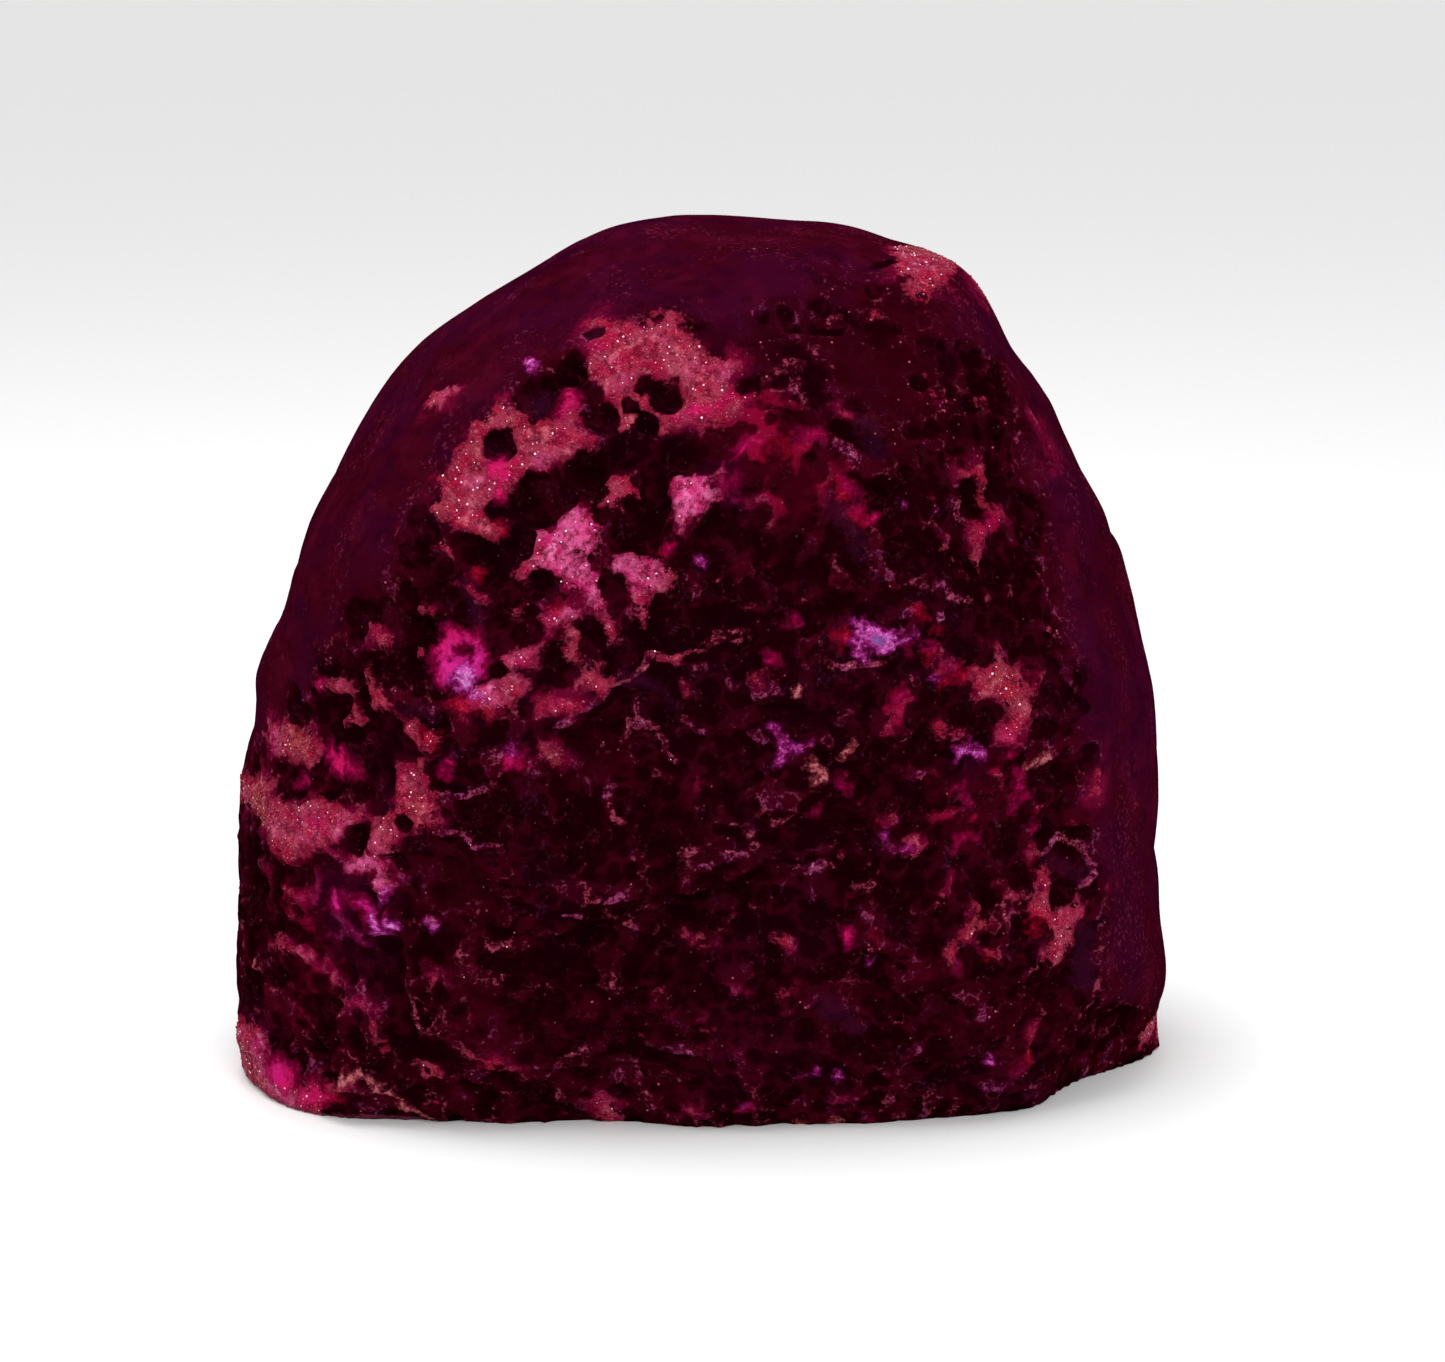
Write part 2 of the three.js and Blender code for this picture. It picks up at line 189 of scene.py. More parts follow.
# Thin crests between the pits
CREST_STROKES = [
    (0.4, (-14.5, 44.3), (-12.3, 46), (-10, 47.6)), (0.45, (-10, 48.5), (-7.5, 49.5), (-6, 50.8)),
    (0.35, (-2, 51.9), (0, 51.8), (0.8, 53), (2, 53.6)),
    (0.35, (-9, 43), (-8.3, 44.5), (-7, 45), (-5.5, 44.5), (-4.3, 43), (-4.3, 41.5), (-3, 40.7)),
    (0.25, (-7, 47), (-7.3, 45)), (0.35, (-2.3, 45.8), (-1, 44), (-0.2, 43.5)),
    (0.3, (2.8, 54.5), (4.2, 54.5), (4, 53), (3, 52.7)), (0.3, (-10, 38), (-9.5, 35), (-8.2, 34.3)),
    (0.3, (5, 43.5), (6.3, 42.7)), (0.3, (5.7, 37.3), (6.3, 36), (5.7, 35)), (0.35, (3, 34), (5, 33)),
    (0.28, (7, 33.7), (9.3, 34.7)), (0.32, (2.5, 30.7), (4.3, 30.8), (5.5, 31.7)),
    (0.32, (-2.3, 31.3), (-0.4, 31.3)), (0.3, (-1, 29.8), (1, 30)), (0.3, (-11.7, 26.7), (-10.3, 27)),
    (0.3, (-9.3, 26.5), (-8, 27.3)), (0.3, (-13.8, 25.3), (-12, 24.8)), (0.35, (-8, 23), (-7, 22.6)),
    (0.35, (-9, 18.3), (-9, 17.3)), (0.3, (-14.5, 8.3), (-12, 10)), (0.35, (-8.7, 7), (-9, 6.2)),
    (0.3, (-7, 7.7), (-5.5, 5), (-5, 4)), (0.3, (-27.5, 36.5), (-25, 36.3), (-22.5, 37.5)),
    (0.25, (-28, 33), (-25, 33), (-23.5, 31.7), (-21.5, 32.3), (-20, 31.2)),
    (0.35, (-29.8, 16), (-28.8, 12.5)), (0.3, (-25, 17.8), (-20.5, 17.7)), (0.5, (-21.5, 21), (-20, 21.3)),
    (0.45, (-24.3, 20.5)), (0.8, (-21, 41.2)), (0.35, (22.7, 57.2), (24.7, 58), (25.5, 56.3), (27.5, 56)),
    (0.4, (20.5, 55), (22, 55.7)), (0.5, (24, 54.5)), (0.35, (13, 50.5), (18.5, 50.2)),
    (0.6, (11.3, 28.2), (12.8, 29)), (0.35, (10, 28.3), (11, 27.7)), (0.28, (15.3, 27.3), (17.5, 27.5)),
    (0.6, (16.5, 24.3)), (0.2, (42.3, 20), (41.8, 15), (41.3, 10.5)), (0.3, (27.7, 13.3), (29.2, 13.7)),
    (0.35, (26, 67), (26.7, 64.7), (28, 64)), (0.35, (24.8, 77.5), (24.5, 75)),
    (0.4, (8.2, 80), (9.8, 80), (9, 77.5), (10.5, 76)), (0.3, (12.8, 72), (13.5, 71)),
    (0.5, (14.5, 71.3), (15, 70)), (0.4, (12.5, 83.8), (14.2, 84.8)), (0.5, (11.5, 81.3)),
    (0.5, (3, 89.7), (6.3, 90.3)), (0.35, (31.3, 24), (31.5, 19)), (0.35, (-12.3, 82.8), (-11, 82)),
    (0.35, (36.5, 28.5), (38, 30), (40, 28.5), (40.5, 26), (39, 24.5)), (0.35, (-3, 10.3), (-1.5, 10.3)),
]
# Spots of stronger dye, of lilac to white and of cream
MAGENTA_STROKES = [
    (0.8, (-2.5, 76), (1, 76), (2.5, 77)), (0.8, (-10.5, 81.5)), (0.9, (-13.3, 76.5), (-14.3, 75)),
    (1.3, (-20.5, 69.3), (-20.7, 68)), (0.7, (2, 68.3), (3, 68.5)), (0.7, (3.6, 72), (5, 72.3)),
    (0.6, (10, 72.7), (11.5, 72.5)), (0.35, (14, 68), (15, 66.7)), (0.4, (15.5, 65.8), (17.3, 64.8)),
    (0.8, (-3.7, 62.6)), (1.3, (-25.5, 53), (-26.2, 51.8), (-26.3, 50.2), (-25.5, 48.7)),
    (0.9, (-25.2, 53.3), (-23.6, 53)), (1.1, (-23.3, 52.8), (-22.8, 51), (-22.9, 49.5)),
    (1.2, (-25.2, 50.2), (-24, 49.6)), (1.3, (-39.5, 39.5), (-38.5, 38.5)), (0.7, (-38, 40), (-36.3, 37.8)),
    (0.9, (-39.7, 46.3)), (0.8, (-26.7, 39), (-26, 39.5)), (1.1, (-38, 24.6)),
    (0.9, (-35.5, 24.7), (-34.5, 23.5)), (1.6, (-46, 3.6), (-44.5, 3.4)), (1.3, (-42, 2.2), (-39.6, 3)),
    (0.55, (25, 49), (26.8, 49.7)), (0.4, (27.3, 36.8), (28.3, 35)), (0.5, (33.3, 38), (33.7, 36)),
    (0.4, (33, 34), (34.3, 35)), (0.5, (34.7, 31.5)), (0.45, (26.5, 30.7), (29, 31.8)), (0.5, (32.3, 40)),
    (0.9, (14.7, 22.3)), (0.9, (4, 4.2)), (0.5, (15, 38), (14, 38.6)), (0.4, (11.5, 35)),
    (0.6, (9.5, 55.3)), (0.5, (7, 51)), (0.6, (33, 5.6)), (0.7, (29.3, 63.4), (30.8, 64.5)),
    (0.9, (-42.3, 36.6)), (0.5, (20.8, 52), (23, 52.2)), (0.7, (-19, 41), (-19.3, 40)),
    (0.5, (20.5, 46.8), (20, 44.8)),
]
LILAC_STROKES = [
    (0.55, (16.2, 54.8), (17, 53.8), (17.8, 53.7), (18.8, 53.2), (19.2, 52.4)),
    (0.75, (17.4, 52.7), (18.7, 52.6)), (0.7, (19.3, 51.8), (18.8, 51.7)),
    (0.28, (20, 52.2), (21, 52.8), (21.8, 53.3)), (0.5, (15.4, 52.8), (16.2, 52.2), (16.2, 51)),
    (0.5, (16.2, 53.6), (16.6, 52.5)), (0.35, (15.5, 55)), (0.4, (23.5, 48.8), (24, 48.5)),
    (0.3, (6.8, 44.8), (7.8, 42.7), (7.7, 40.5)), (0.25, (7.8, 42.5), (8.8, 42), (10.7, 42.5)),
    (0.5, (8.2, 42.4)), (1.15, (-24, 49.3), (-23.6, 48.5)), (0.55, (-25, 48.3), (-24.2, 47.8)),
    (0.45, (-22.8, 47.4), (-21.9, 46.9)), (0.5, (26.7, 40.5), (28, 41), (29.5, 40)), (0.35, (27.8, 41.6)),
    (0.8, (-32.5, 22.5)), (0.5, (-34.3, 23.5), (-33.5, 20.8)), (0.4, (-32.8, 26.3), (-33.3, 25.3)),
    (0.4, (-0.2, 61.5)), (0.5, (-17.5, 79.5), (-17, 78.8)), (0.35, (-19.7, 41.9), (-19.4, 41.4)),
    (0.5, (11, 7.6)), (0.25, (9.7, 7.7)), (0.5, (13.6, 6.9)), (0.6, (29.7, 7)),
    (0.15, (18.3, 32.5), (19.5, 31.3), (21, 31.2)), (0.2, (20.5, 66), (21, 66.2)), (0.4, (3.8, 4.5)),
    (0.45, (17, 19.4)), (0.5, (-28, 23.3)),
]
EMBER_STROKES = [
    (0.8, (-24.7, 46.7), (-23.5, 46.3), (-22, 45.9)), (1, (-27.8, 42.5)), (0.65, (-19.5, 40.5)),
    (0.6, (-23.2, 59.2)), (0.6, (-15, 56.2)), (0.65, (-4, 62.5)), (0.7, (13.8, 67.2)), (0.8, (16.2, 64.8)),
    (0.5, (5.8, 71.8), (8, 71.5)), (0.45, (21.5, 55.2), (22, 55)),
    (0.6, (24.8, 48), (25.8, 48), (26.6, 49.1)), (0.3, (20, 47), (20.2, 46), (19.8, 45.4), (20.2, 43.8)),
    (0.5, (14.2, 53.8), (14.8, 53)), (0.6, (34.8, 23), (35.2, 21.8)), (0.55, (28.8, 19)),
    (0.4, (34.2, 8.8), (34.2, 6.8)), (1, (-40.5, 31.5)), (0.9, (-47.5, 31.5)),
    (1, (-40.5, 2.8), (-38.8, 3.2)), (0.4, (24, 53.5)), (0.5, (23, 51)), (1, (50.5, 4.5)),
    (0.4, (3.5, 77), (1.5, 75.5)), (0.7, (-21, 64.5)), (0.7, (30.3, 64.3)),
]
CREAM_STROKES = [
    (0.6, (10.8, 40.7), (11.7, 39.6), (12.2, 39.2)), (0.32, (13.6, 40.9), (15.3, 42)),
    (0.6, (34, 38.5), (35.6, 39.3)), (0.7, (-34.5, 6), (-33, 4.3), (-31.2, 1.8), (-28.8, 0.8)),
    (0.55, (-37.2, 5.6), (-35.5, 6.4)), (1, (9.5, 1)), (1, (13, 1.5)), (0.8, (9.7, 48)),
    (0.35, (-28, 23.6)), (0.7, (-15.8, 41.3)), (0.9, (-48.3, 15)), (0.6, (19.3, 34.5)), (0.8, (11.3, 38.5)),
]
SLATE_STROKES = [
    (1.7, (-16.3, 75.8)), (1, (-11.1, 82.9)), (0.6, (17.6, 53), (18.6, 52.7)),
    (0.9, (36.5, 28), (39.5, 26)), (1, (-24.3, 58.5), (-23, 55)), (0.6, (28, 39.6)),
    (1.2, (16, 74), (17.5, 71)), (1.2, (13, 66), (16, 62)), (0.8, (-8, 50), (-3, 46.5)),
    (1.4, (40, 20), (40.5, 14)), (0.9, (-30, 45.5), (-27, 45)), (1.2, (12, 15), (16, 12)),
]
# Deep round pits, (x, z, radius), and long hollows under ledges, (radius, then the points)
PITS = [
    (-17, 66.8, 2.6), (-14.3, 67.9, 1.5), (-12, 70, 2.1), (-21.2, 65.8, 1.2), (-20.5, 71.3, 1.7),
    (-10.3, 75.3, 1.6), (-11.4, 77.4, 1.2), (-13.5, 79, 1.7), (-16.3, 76.3, 1.6), (-11, 83, 1),
    (-6.1, 78.7, 1.25), (-3.6, 77.9, 1.9), (-2.8, 79.2, 0.8), (-7.4, 76.9, 0.9), (-6, 75.2, 1.4),
    (-2.7, 72, 2.4), (1, 73, 1.2), (0.3, 71, 1.5), (-8.5, 72.5, 1.9), (-10.2, 65.7, 0.8), (-8.8, 65.5, 0.8),
    (-7, 66.7, 0.8), (-8, 63.3, 1.7), (-4.8, 62.5, 1.3), (-9.3, 58.5, 1.2), (-16.3, 58.8, 1.5),
    (-19, 63, 1.6), (-24, 62, 1.7), (-25, 56.5, 1.5), (-22, 60.5, 1.2), (-27.5, 58.5, 1.5),
    (-28, 53.2, 1.3), (-19.5, 57.8, 1.1), (-39, 43.8, 2.1), (-36, 42, 1), (-43.3, 44, 1.8),
    (-35.7, 31.3, 1.5), (-47.8, 28, 1.7), (-41.3, 26.8, 1), (-38.5, 26, 1.1), (-30.7, 33.5, 0.8),
    (-33.2, 38, 1.3), (-32, 41.5, 1.1), (-45.7, 6.7, 1.5), (-42.5, 36, 1.5), (-20.5, 49.9, 0.9),
    (-30, 50, 1.4), (-26, 44, 1.2), (28.5, 50.4, 0.9), (32, 50.3, 0.85), (25.5, 47, 1.6), (29.7, 44.3, 1.3),
    (26.2, 44.4, 1.1), (38.3, 43.7, 1.2), (39.5, 38.7, 1.3), (27.7, 66.8, 1.4), (31, 67.3, 1.2),
    (28.3, 77, 1.3), (22.3, 78.3, 1), (29.5, 25.2, 1.15), (28.8, 21.3, 0.9), (33.2, 26.7, 1.2),
    (33, 21.4, 1.6), (38, 24.7, 1.4), (25.2, 14.5, 1), (32.5, 31, 1.3), (43.5, 6, 1.7), (10, 45.4, 1.3),
    (14, 73, 0.9), (9, 63.5, 1.2), (21, 64, 1), (26.5, 57.7, 0.9), (7, 28.5, 1), (0.5, 28, 1.1),
    (-12, 23.4, 1), (7.5, 9, 0.9), (-3.5, 19.3, 0.9), (7.3, 19.4, 1), (22, 56.3, 1.1), (12, 60, 1.2),
    (18, 37, 1.1), (15.5, 32.3, 1.1),
]
HOLLOWS = [
    (0.6, (-25.3, 52.8), (-23.8, 51.2)), (1.25, (-5, 69.5), (-5.2, 63.5)), (0.9, (-9.8, 25.5), (-6, 26.4)),
    (0.9, (-4, 26.2), (1.5, 25)), (0.8, (-9, 21.5), (-5.3, 21.2)), (0.85, (-16, 18.3), (-11, 18.6)),
    (0.8, (16, 18), (18.2, 18.2)), (1, (-9, 9.6), (0, 8.9)), (0.8, (-6.5, 36), (-4, 35.8)),
    (0.7, (1.5, 33.5), (3.7, 33.2)), (0.7, (-5.2, 48.3), (-3, 48.2)), (0.7, (-12.3, 45.2), (-9, 47)),
    (0.7, (11.8, 44.4), (13.7, 43.3)), (0.6, (4.3, 41.6), (7, 41.2)), (0.7, (8, 38.3), (10, 38.2)),
    (0.7, (9.7, 83.3), (14, 83.3)), (0.9, (17.7, 88.5), (19.3, 88.6)), (1, (-35, 18.4), (-32, 18.4)),
    (1.5, (-32.5, 17), (-31, 13), (-30, 9.5)), (0.9, (-28, 8.8), (-24, 8.2)),
    (0.9, (-22.3, 19.5), (-18.5, 18.9)), (0.7, (-28, 31.8), (-24.7, 31.4)), (0.9, (-34, 35), (-33, 39)),
    (0.6, (-16.7, 32), (-15, 32)), (0.6, (-22, 35.7), (-19, 35.5)), (1.2, (32, 19.8), (35, 21.3)),
]

# Soft spots, (x, z, reach, amount), of the sugar's tone, lilac (+) or salmon (-), and of the rind's dye
TONES = [
    (-13, 62, 5, 0.9), (-6, 60, 4, 0.6), (0, 68, 4, 1), (-22, 68, 5, 0.1), (-2, 80, 7, -0.1),
    (-47, 32, 3, -1.2), (-40, 32, 4, 0.1), (-24, 50, 4, 1), (-35, 23, 7, 1.1), (-46, 4, 4, 0.8),
    (-40, 3, 3, -0.3), (31, 46, 5, -0.1), (37, 21, 5, 0.1), (25, 89, 5, -1.8), (-30, 37, 4, -0.3),
    (-43, 40, 3, -0.7), (17, 53, 5, 1), (49, 4, 3, -0.5), (-33, 3, 3, -1.2), (8, 42, 3, 0.5),
    (11, 39, 2, -1), (28, 41, 3, 1), (28, 22, 4, -0.7), (4, 4, 3, 0.8), (-26, 76, 3, 0.2),
]
DYE = [
    (-42, 15, 5, 0.8), (5, 72, 6, 1.5), (10, 68, 5, 0.8), (28, 35, 5, 1.5), (-38, 24, 7, 1.1),
    (-42, 32, 8, 0.4), (-20, 55, 8, 0.3), (0, 40, 9, -0.5), (4, 28, 8, -0.4), (-5, 18, 8, -0.2),
    (-24, 28, 7, -0.6), (35, 36, 6, 0.3), (15, 53, 6, 0.4), (10, 12, 9, 0.1), (28, 63, 4, 0.5),
    (15, 22, 6, 0.2), (-12, 42, 6, -0.7), (-30, 10, 6, -0.2), (3, 15, 6, 0.3), (30, 10, 8, -0.2),
    (20, 78, 10, -0.35),
]

# Where the broken rind is smoother, with fewer small pits
CALM = [
    (5, 82, 4, 1), (18, 80, 9, 1), (28, 72, 6, 0.5), (10, 63, 6, 0.3), (-12, 42, 5, 0.9), (-25, 27, 5, 0.9),
    (0, 33, 7, 0.5), (-5, 12, 9, 0.5), (12, 12, 8, 0.4), (34, 12, 5, 0.6), (-22, 13, 6, 0.6),
    (38, 57, 4, 0.6), (30, 56, 4, 0.4),
]

# How much is spread at random
SMALL_PITS = 3600
REAR_PIT_TRIES = 90
REAR_SPECKS = 70
MOST_GRAINS = 13000
GRAINS_PER_MM2 = 9.0
SEED = 29

# A grain's least radius, the most that chance adds to it, and how deep its root is sunk
GRAIN_RADIUS = 0.07
GRAIN_SPREAD = 0.1
ROOT_DEPTH = 0.15
# Grains with a tint above this are the few painted near white, a painted glint
PAINTED_GLINT = 0.95
# The turns of a grain's six corners
TURNS = np.arange(6) / 6 * 2 * math.pi

# Where the lights point and where the camera looks and stands, in metres and degrees
LIT_POINT = (0, 0, 0.04)
CAMERA_TARGET = (0.002, 0, 0.0422)
CAMERA_DISTANCE = 0.395
CAMERA_RISE = 12

# How far inside the solid's box the stone and its grains stay
BOX_MARGIN = 0.15
GRAIN_MARGIN = 0.01
# Fields tell how far inside (+) or outside (-) a shape's edge a place is, down to this
FAR_OUTSIDE = -6.0
# The lowest value on the crest round a pit, which is 1 in its middle and 0 at its edge
RIM = -0.5


def srgb(red, green, blue):
    """A colour of the screen, 0 to 255, as the linear colour that a shader takes."""
    channels = [c / 255 for c in (red, green, blue)]
    linear = [c / 12.92 if c <= 0.04045 else ((c + 0.055) / 1.055) ** 2.4 for c in channels]
    return (*linear, 1.0)


def unit(vectors):
    return vectors / np.linalg.norm(vectors, axis=1)[:, None]


def bell(distance, reach):
    return np.exp(-((distance / reach) ** 2))


def smooth_step(low, high, value):
    t = np.clip((value - low) / (high - low), 0, 1)
    return t * t * (3 - 2 * t)


# Form of the stone

def outline_radius(angle):
    """Radius of the outline at each angle, smooth through its equally spaced radii."""
    count = len(OUTLINE)
    turn = angle / (2 * math.pi) * count
    start = np.floor(turn).astype(int)
    before, near, far, after = (OUTLINE[(start + k) % count] for k in (-1, 0, 1, 2))
    t = turn - start
    slope = far - before
    bend = 2 * before - 5 * near + 4 * far - after
    twist = 3 * (near - far) + after - before
    return near + 0.5 * t * (slope + t * (bend + t * twist))


def body_points(directions):
    """The smooth body's points along unit directions from the heart."""
    flat = np.hypot(directions[:, 0], directions[:, 2])
    depth = np.where(directions[:, 1] < 0, FRONT_DEPTH, REAR_DEPTH)
    rim = outline_radius(np.arctan2(directions[:, 2], directions[:, 0]))
    total = (flat / rim) ** FULLNESS + (np.abs(directions[:, 1]) / depth) ** FULLNESS
    points = directions * total[:, None] ** (-1 / FULLNESS)
    points[:, 1] += SKEW * points[:, 0]
    return points + HEART


def face_point(x, z, side=-1):
    """The smooth body's point straight ahead of (side -1) or behind (side +1) x, z."""
    across, up = x - HEART[0], z - HEART[2]
    share = min(math.hypot(across, up) / float(outline_radius(np.array(math.atan2(up, across)))), 1)
    depth = FRONT_DEPTH if side < 0 else REAR_DEPTH
    out = depth * (1 - share ** FULLNESS) ** (1 / FULLNESS)
    return np.array([x, HEART[1] + side * out + SKEW * across, z])


def path_distance(points, path):
    """Distance of each point to a path, in as many dimensions as they have."""
    corners = [np.asarray(corner, float) for corner in path]
    if len(corners) == 1:
        return np.linalg.norm(points - corners[0], axis=1)
    nearest = np.full(len(points), np.inf)
    for start, end in zip(corners, corners[1:]):
        along = end - start
        share = np.clip((points - start) @ along / (along @ along), 0, 1)
        gap = np.linalg.norm(points - start - share[:, None] * along, axis=1)
        nearest = np.minimum(nearest, gap)
    return nearest


def spot(points, x, z, reach, side=-1):
    """A soft round spot on one side, 1 in its middle."""
    return bell(np.linalg.norm(points - face_point(x, z, side), axis=1), reach)


def rind_rise(points):
    """How far the rind stands out from the smooth body at its points: rolls, lumps and ledges."""
    rise = np.zeros(len(points))
    for wave, shift, height in ROLL:
        rise += height * np.sin(points @ np.array(wave) + shift)
    for side, lumps in ((-1, FRONT_LUMPS), (1, REAR_LUMPS)):
        for x, z, reach, height in lumps:
            rise += height * spot(points, x, z, reach, side)
    for path, reach, height in LEDGES:
        ledge = [face_point(x, z) for x, z in path]
        rise += height * bell(path_distance(points, ledge), reach)
    return rise


# The mesh of the stone: a cube of squares, rounded and crowded towards the front

def cube_sphere():
    """Unit directions, square faces and the place of every face corner on a 3 by 2 sheet."""
    steps = np.arange(SQUARES + 1)
    column, row = np.meshgrid(steps, steps, indexing="ij")
    sides = []
    for axis in range(3):
        for end, first, second in ((0, row, column), (SQUARES, column, row)):
            side = np.stack([np.full_like(row, end), first, second], -1)
            sides.append(np.roll(side, axis, -1))
    lattice, index = np.unique(np.array(sides).reshape(-1, 3), axis=0, return_inverse=True)
    index = index.reshape(6, SQUARES + 1, SQUARES + 1)
    faces = np.stack([index[:, :-1, :-1], index[:, 1:, :-1], index[:, 1:, 1:], index[:, :-1, 1:]], -1)
    spread = np.tan((lattice / SQUARES * 2 - 1) * math.pi / 4)
    return unit(spread), faces.reshape(-1, 4), sheet_places()


def sheet_places():
    """The six sides of the cube, side by side on one map with a gap between them."""
    gap = 0.004
    size = np.array([1 / 3, 1 / 2])
    steps = np.arange(SQUARES)
    squares = np.stack(np.meshgrid(steps, steps, indexing="ij"), -1)[:, :, None]
    corners = (squares + np.array([(0, 0), (1, 0), (1, 1), (0, 1)])) / SQUARES
    places = []
    for side in range(6):
        low = np.array([side % 3 / 3, side // 3 / 2])
        places.append(low + gap + corners * (size - 2 * gap))
    return np.array(places).reshape(-1, 2)


def crowd_forward(directions):
    """Turns unit directions towards the front, so that squares are smaller there."""
    ahead = -directions[:, 1]
    turned = (ahead + CROWDING) / (1 + CROWDING * ahead)
    squeeze = np.sqrt((1 - turned ** 2) / np.maximum(1 - ahead ** 2, 1e-12))
    return np.stack([directions[:, 0] * squeeze, -turned, directions[:, 2] * squeeze], 1)


def normals_of(points, faces):
    """Unit normals at the points of a mesh of squares."""
    a, b, c, d = (points[faces[:, k]] for k in range(4))
    across = np.cross(c - a, d - b)
    normals = np.zeros_like(points)
    for k in range(4):
        np.add.at(normals, faces[:, k], across)
    return unit(normals)


def saw_base(points):
    """Draws what lies below the floor back up to it, towards the heart."""
    low = points[:, 2] < 0
    share = HEART[2] / (HEART[2] - points[low, 2])
    points[low] = HEART + (points[low] - HEART) * share[:, None]
    points[low, 2] = 0
    return points


def fit_in_box(points):
    """Brings the points just inside the solid's box, with the sawn base left on the floor."""
    low, high = (np.array(corner) / MM for corner in CAD_BOX)
    low, high = low + [BOX_MARGIN, BOX_MARGIN, 0], high - BOX_MARGIN
    least, most = points.min(0), points.max(0)
    return low + (points - least) * (high - low) / (most - least)


# Fields over the stone's surface, in millimetres

def polygon_depth(places, polygon):
    """How deep inside an outline each place is."""
    outline = np.array(polygon, float)
    edge = path_distance(places, [*outline, outline[0]])
    inside = np.zeros(len(places), bool)
    for (x0, z0), (x1, z1) in zip(outline, np.roll(outline, -1, axis=0)):
        if z0 != z1:
            crosses = (z0 > places[:, 1]) != (z1 > places[:, 1])
            inside ^= crosses & (places[:, 0] < (x1 - x0) * (places[:, 1] - z0) / (z1 - z0) + x0)
    return np.where(inside, edge, -edge)


def deepest(places, shapes, measure):
    """The greatest depth inside any of the shapes, worked out only near each one."""
    best = np.full(len(places), FAR_OUTSIDE)
    for shape, reach in shapes:
        corners = np.array(shape, float)
        margin = reach - FAR_OUTSIDE
        near = ((places > corners.min(0) - margin) & (places < corners.max(0) + margin)).all(1)
        best[near] = np.maximum(best[near], measure(places[near], shape, reach))
    return best


def patch_field(places, patches):
    shapes = [(patch, 0) for patch in patches]
    return deepest(places, shapes, lambda near, patch, _: polygon_depth(near, patch))


def spots(points, places):
    """A sum of soft round spots on the front, each (x, z, reach, amount)."""
    total = np.zeros(len(points))
    for x, z, reach, amount in places:
        total += amount * spot(points, x, z, reach)
    return total


def stroke_field(places, strokes):
    return deepest(places, strokes, lambda near, path, reach: reach - path_distance(near, path))


def on_front(strokes):
    """The strokes as paths over the smooth body's front, each with its reach."""
    return [([face_point(x, z) for x, z in path], reach) for reach, *path in strokes]


def rear_specks(random):
    """Small specks of sugar on the rear and the sides, at random."""
    specks = []
    for _ in range(REAR_SPECKS):
        x, z = random.uniform(-50, 50), random.uniform(2, 76)
        specks.append(([face_point(x, z, 1)], 0.4 + 0.9 * random.random() ** 2))
    return specks


def stirred(points, size, amount, shift=0):
    """The points pushed about by smooth noise, which makes outlines drawn through them ragged."""
    moved = np.array([noise.noise_vector(Vector(p)) for p in points / size + shift])
    return points + amount * moved


def fractal(points, size, octaves=3):
    """Smooth noise from about -1 to 1, with features of the given size in millimetres."""
    return np.array([noise.fractal(Vector(p), 1.0, 2.0, octaves) for p in points / size])


def sugar_field(points, stir, front, pocked, broad, random):
    """Quartz sugar: patches and strokes on the front, and some grown at random beyond it."""
    turning = np.maximum(points[:, 1] + 3, 0) * 0.8
    patches = np.where(front, patch_field(stir[:, [0, 2]], SUGAR_PATCHES) - turning, FAR_OUTSIDE)
    strokes = stroke_field(stir, on_front(SUGAR_STROKES)) - 0.12
    grown = 7 * (fractal(points + 83, 8) - 0.33) + 1.5 * fractal(points + 12, 2.2, 2)
    strewn = stroke_field(stir, rear_specks(random)) + 0.4 * broad
    beyond = smooth_step(-4, 1, points[:, 1]) * 8 - 8
    rear = np.minimum(np.maximum(grown, strewn), pocked - 1.5) + beyond
    return np.maximum(np.maximum(patches, strokes), rear)


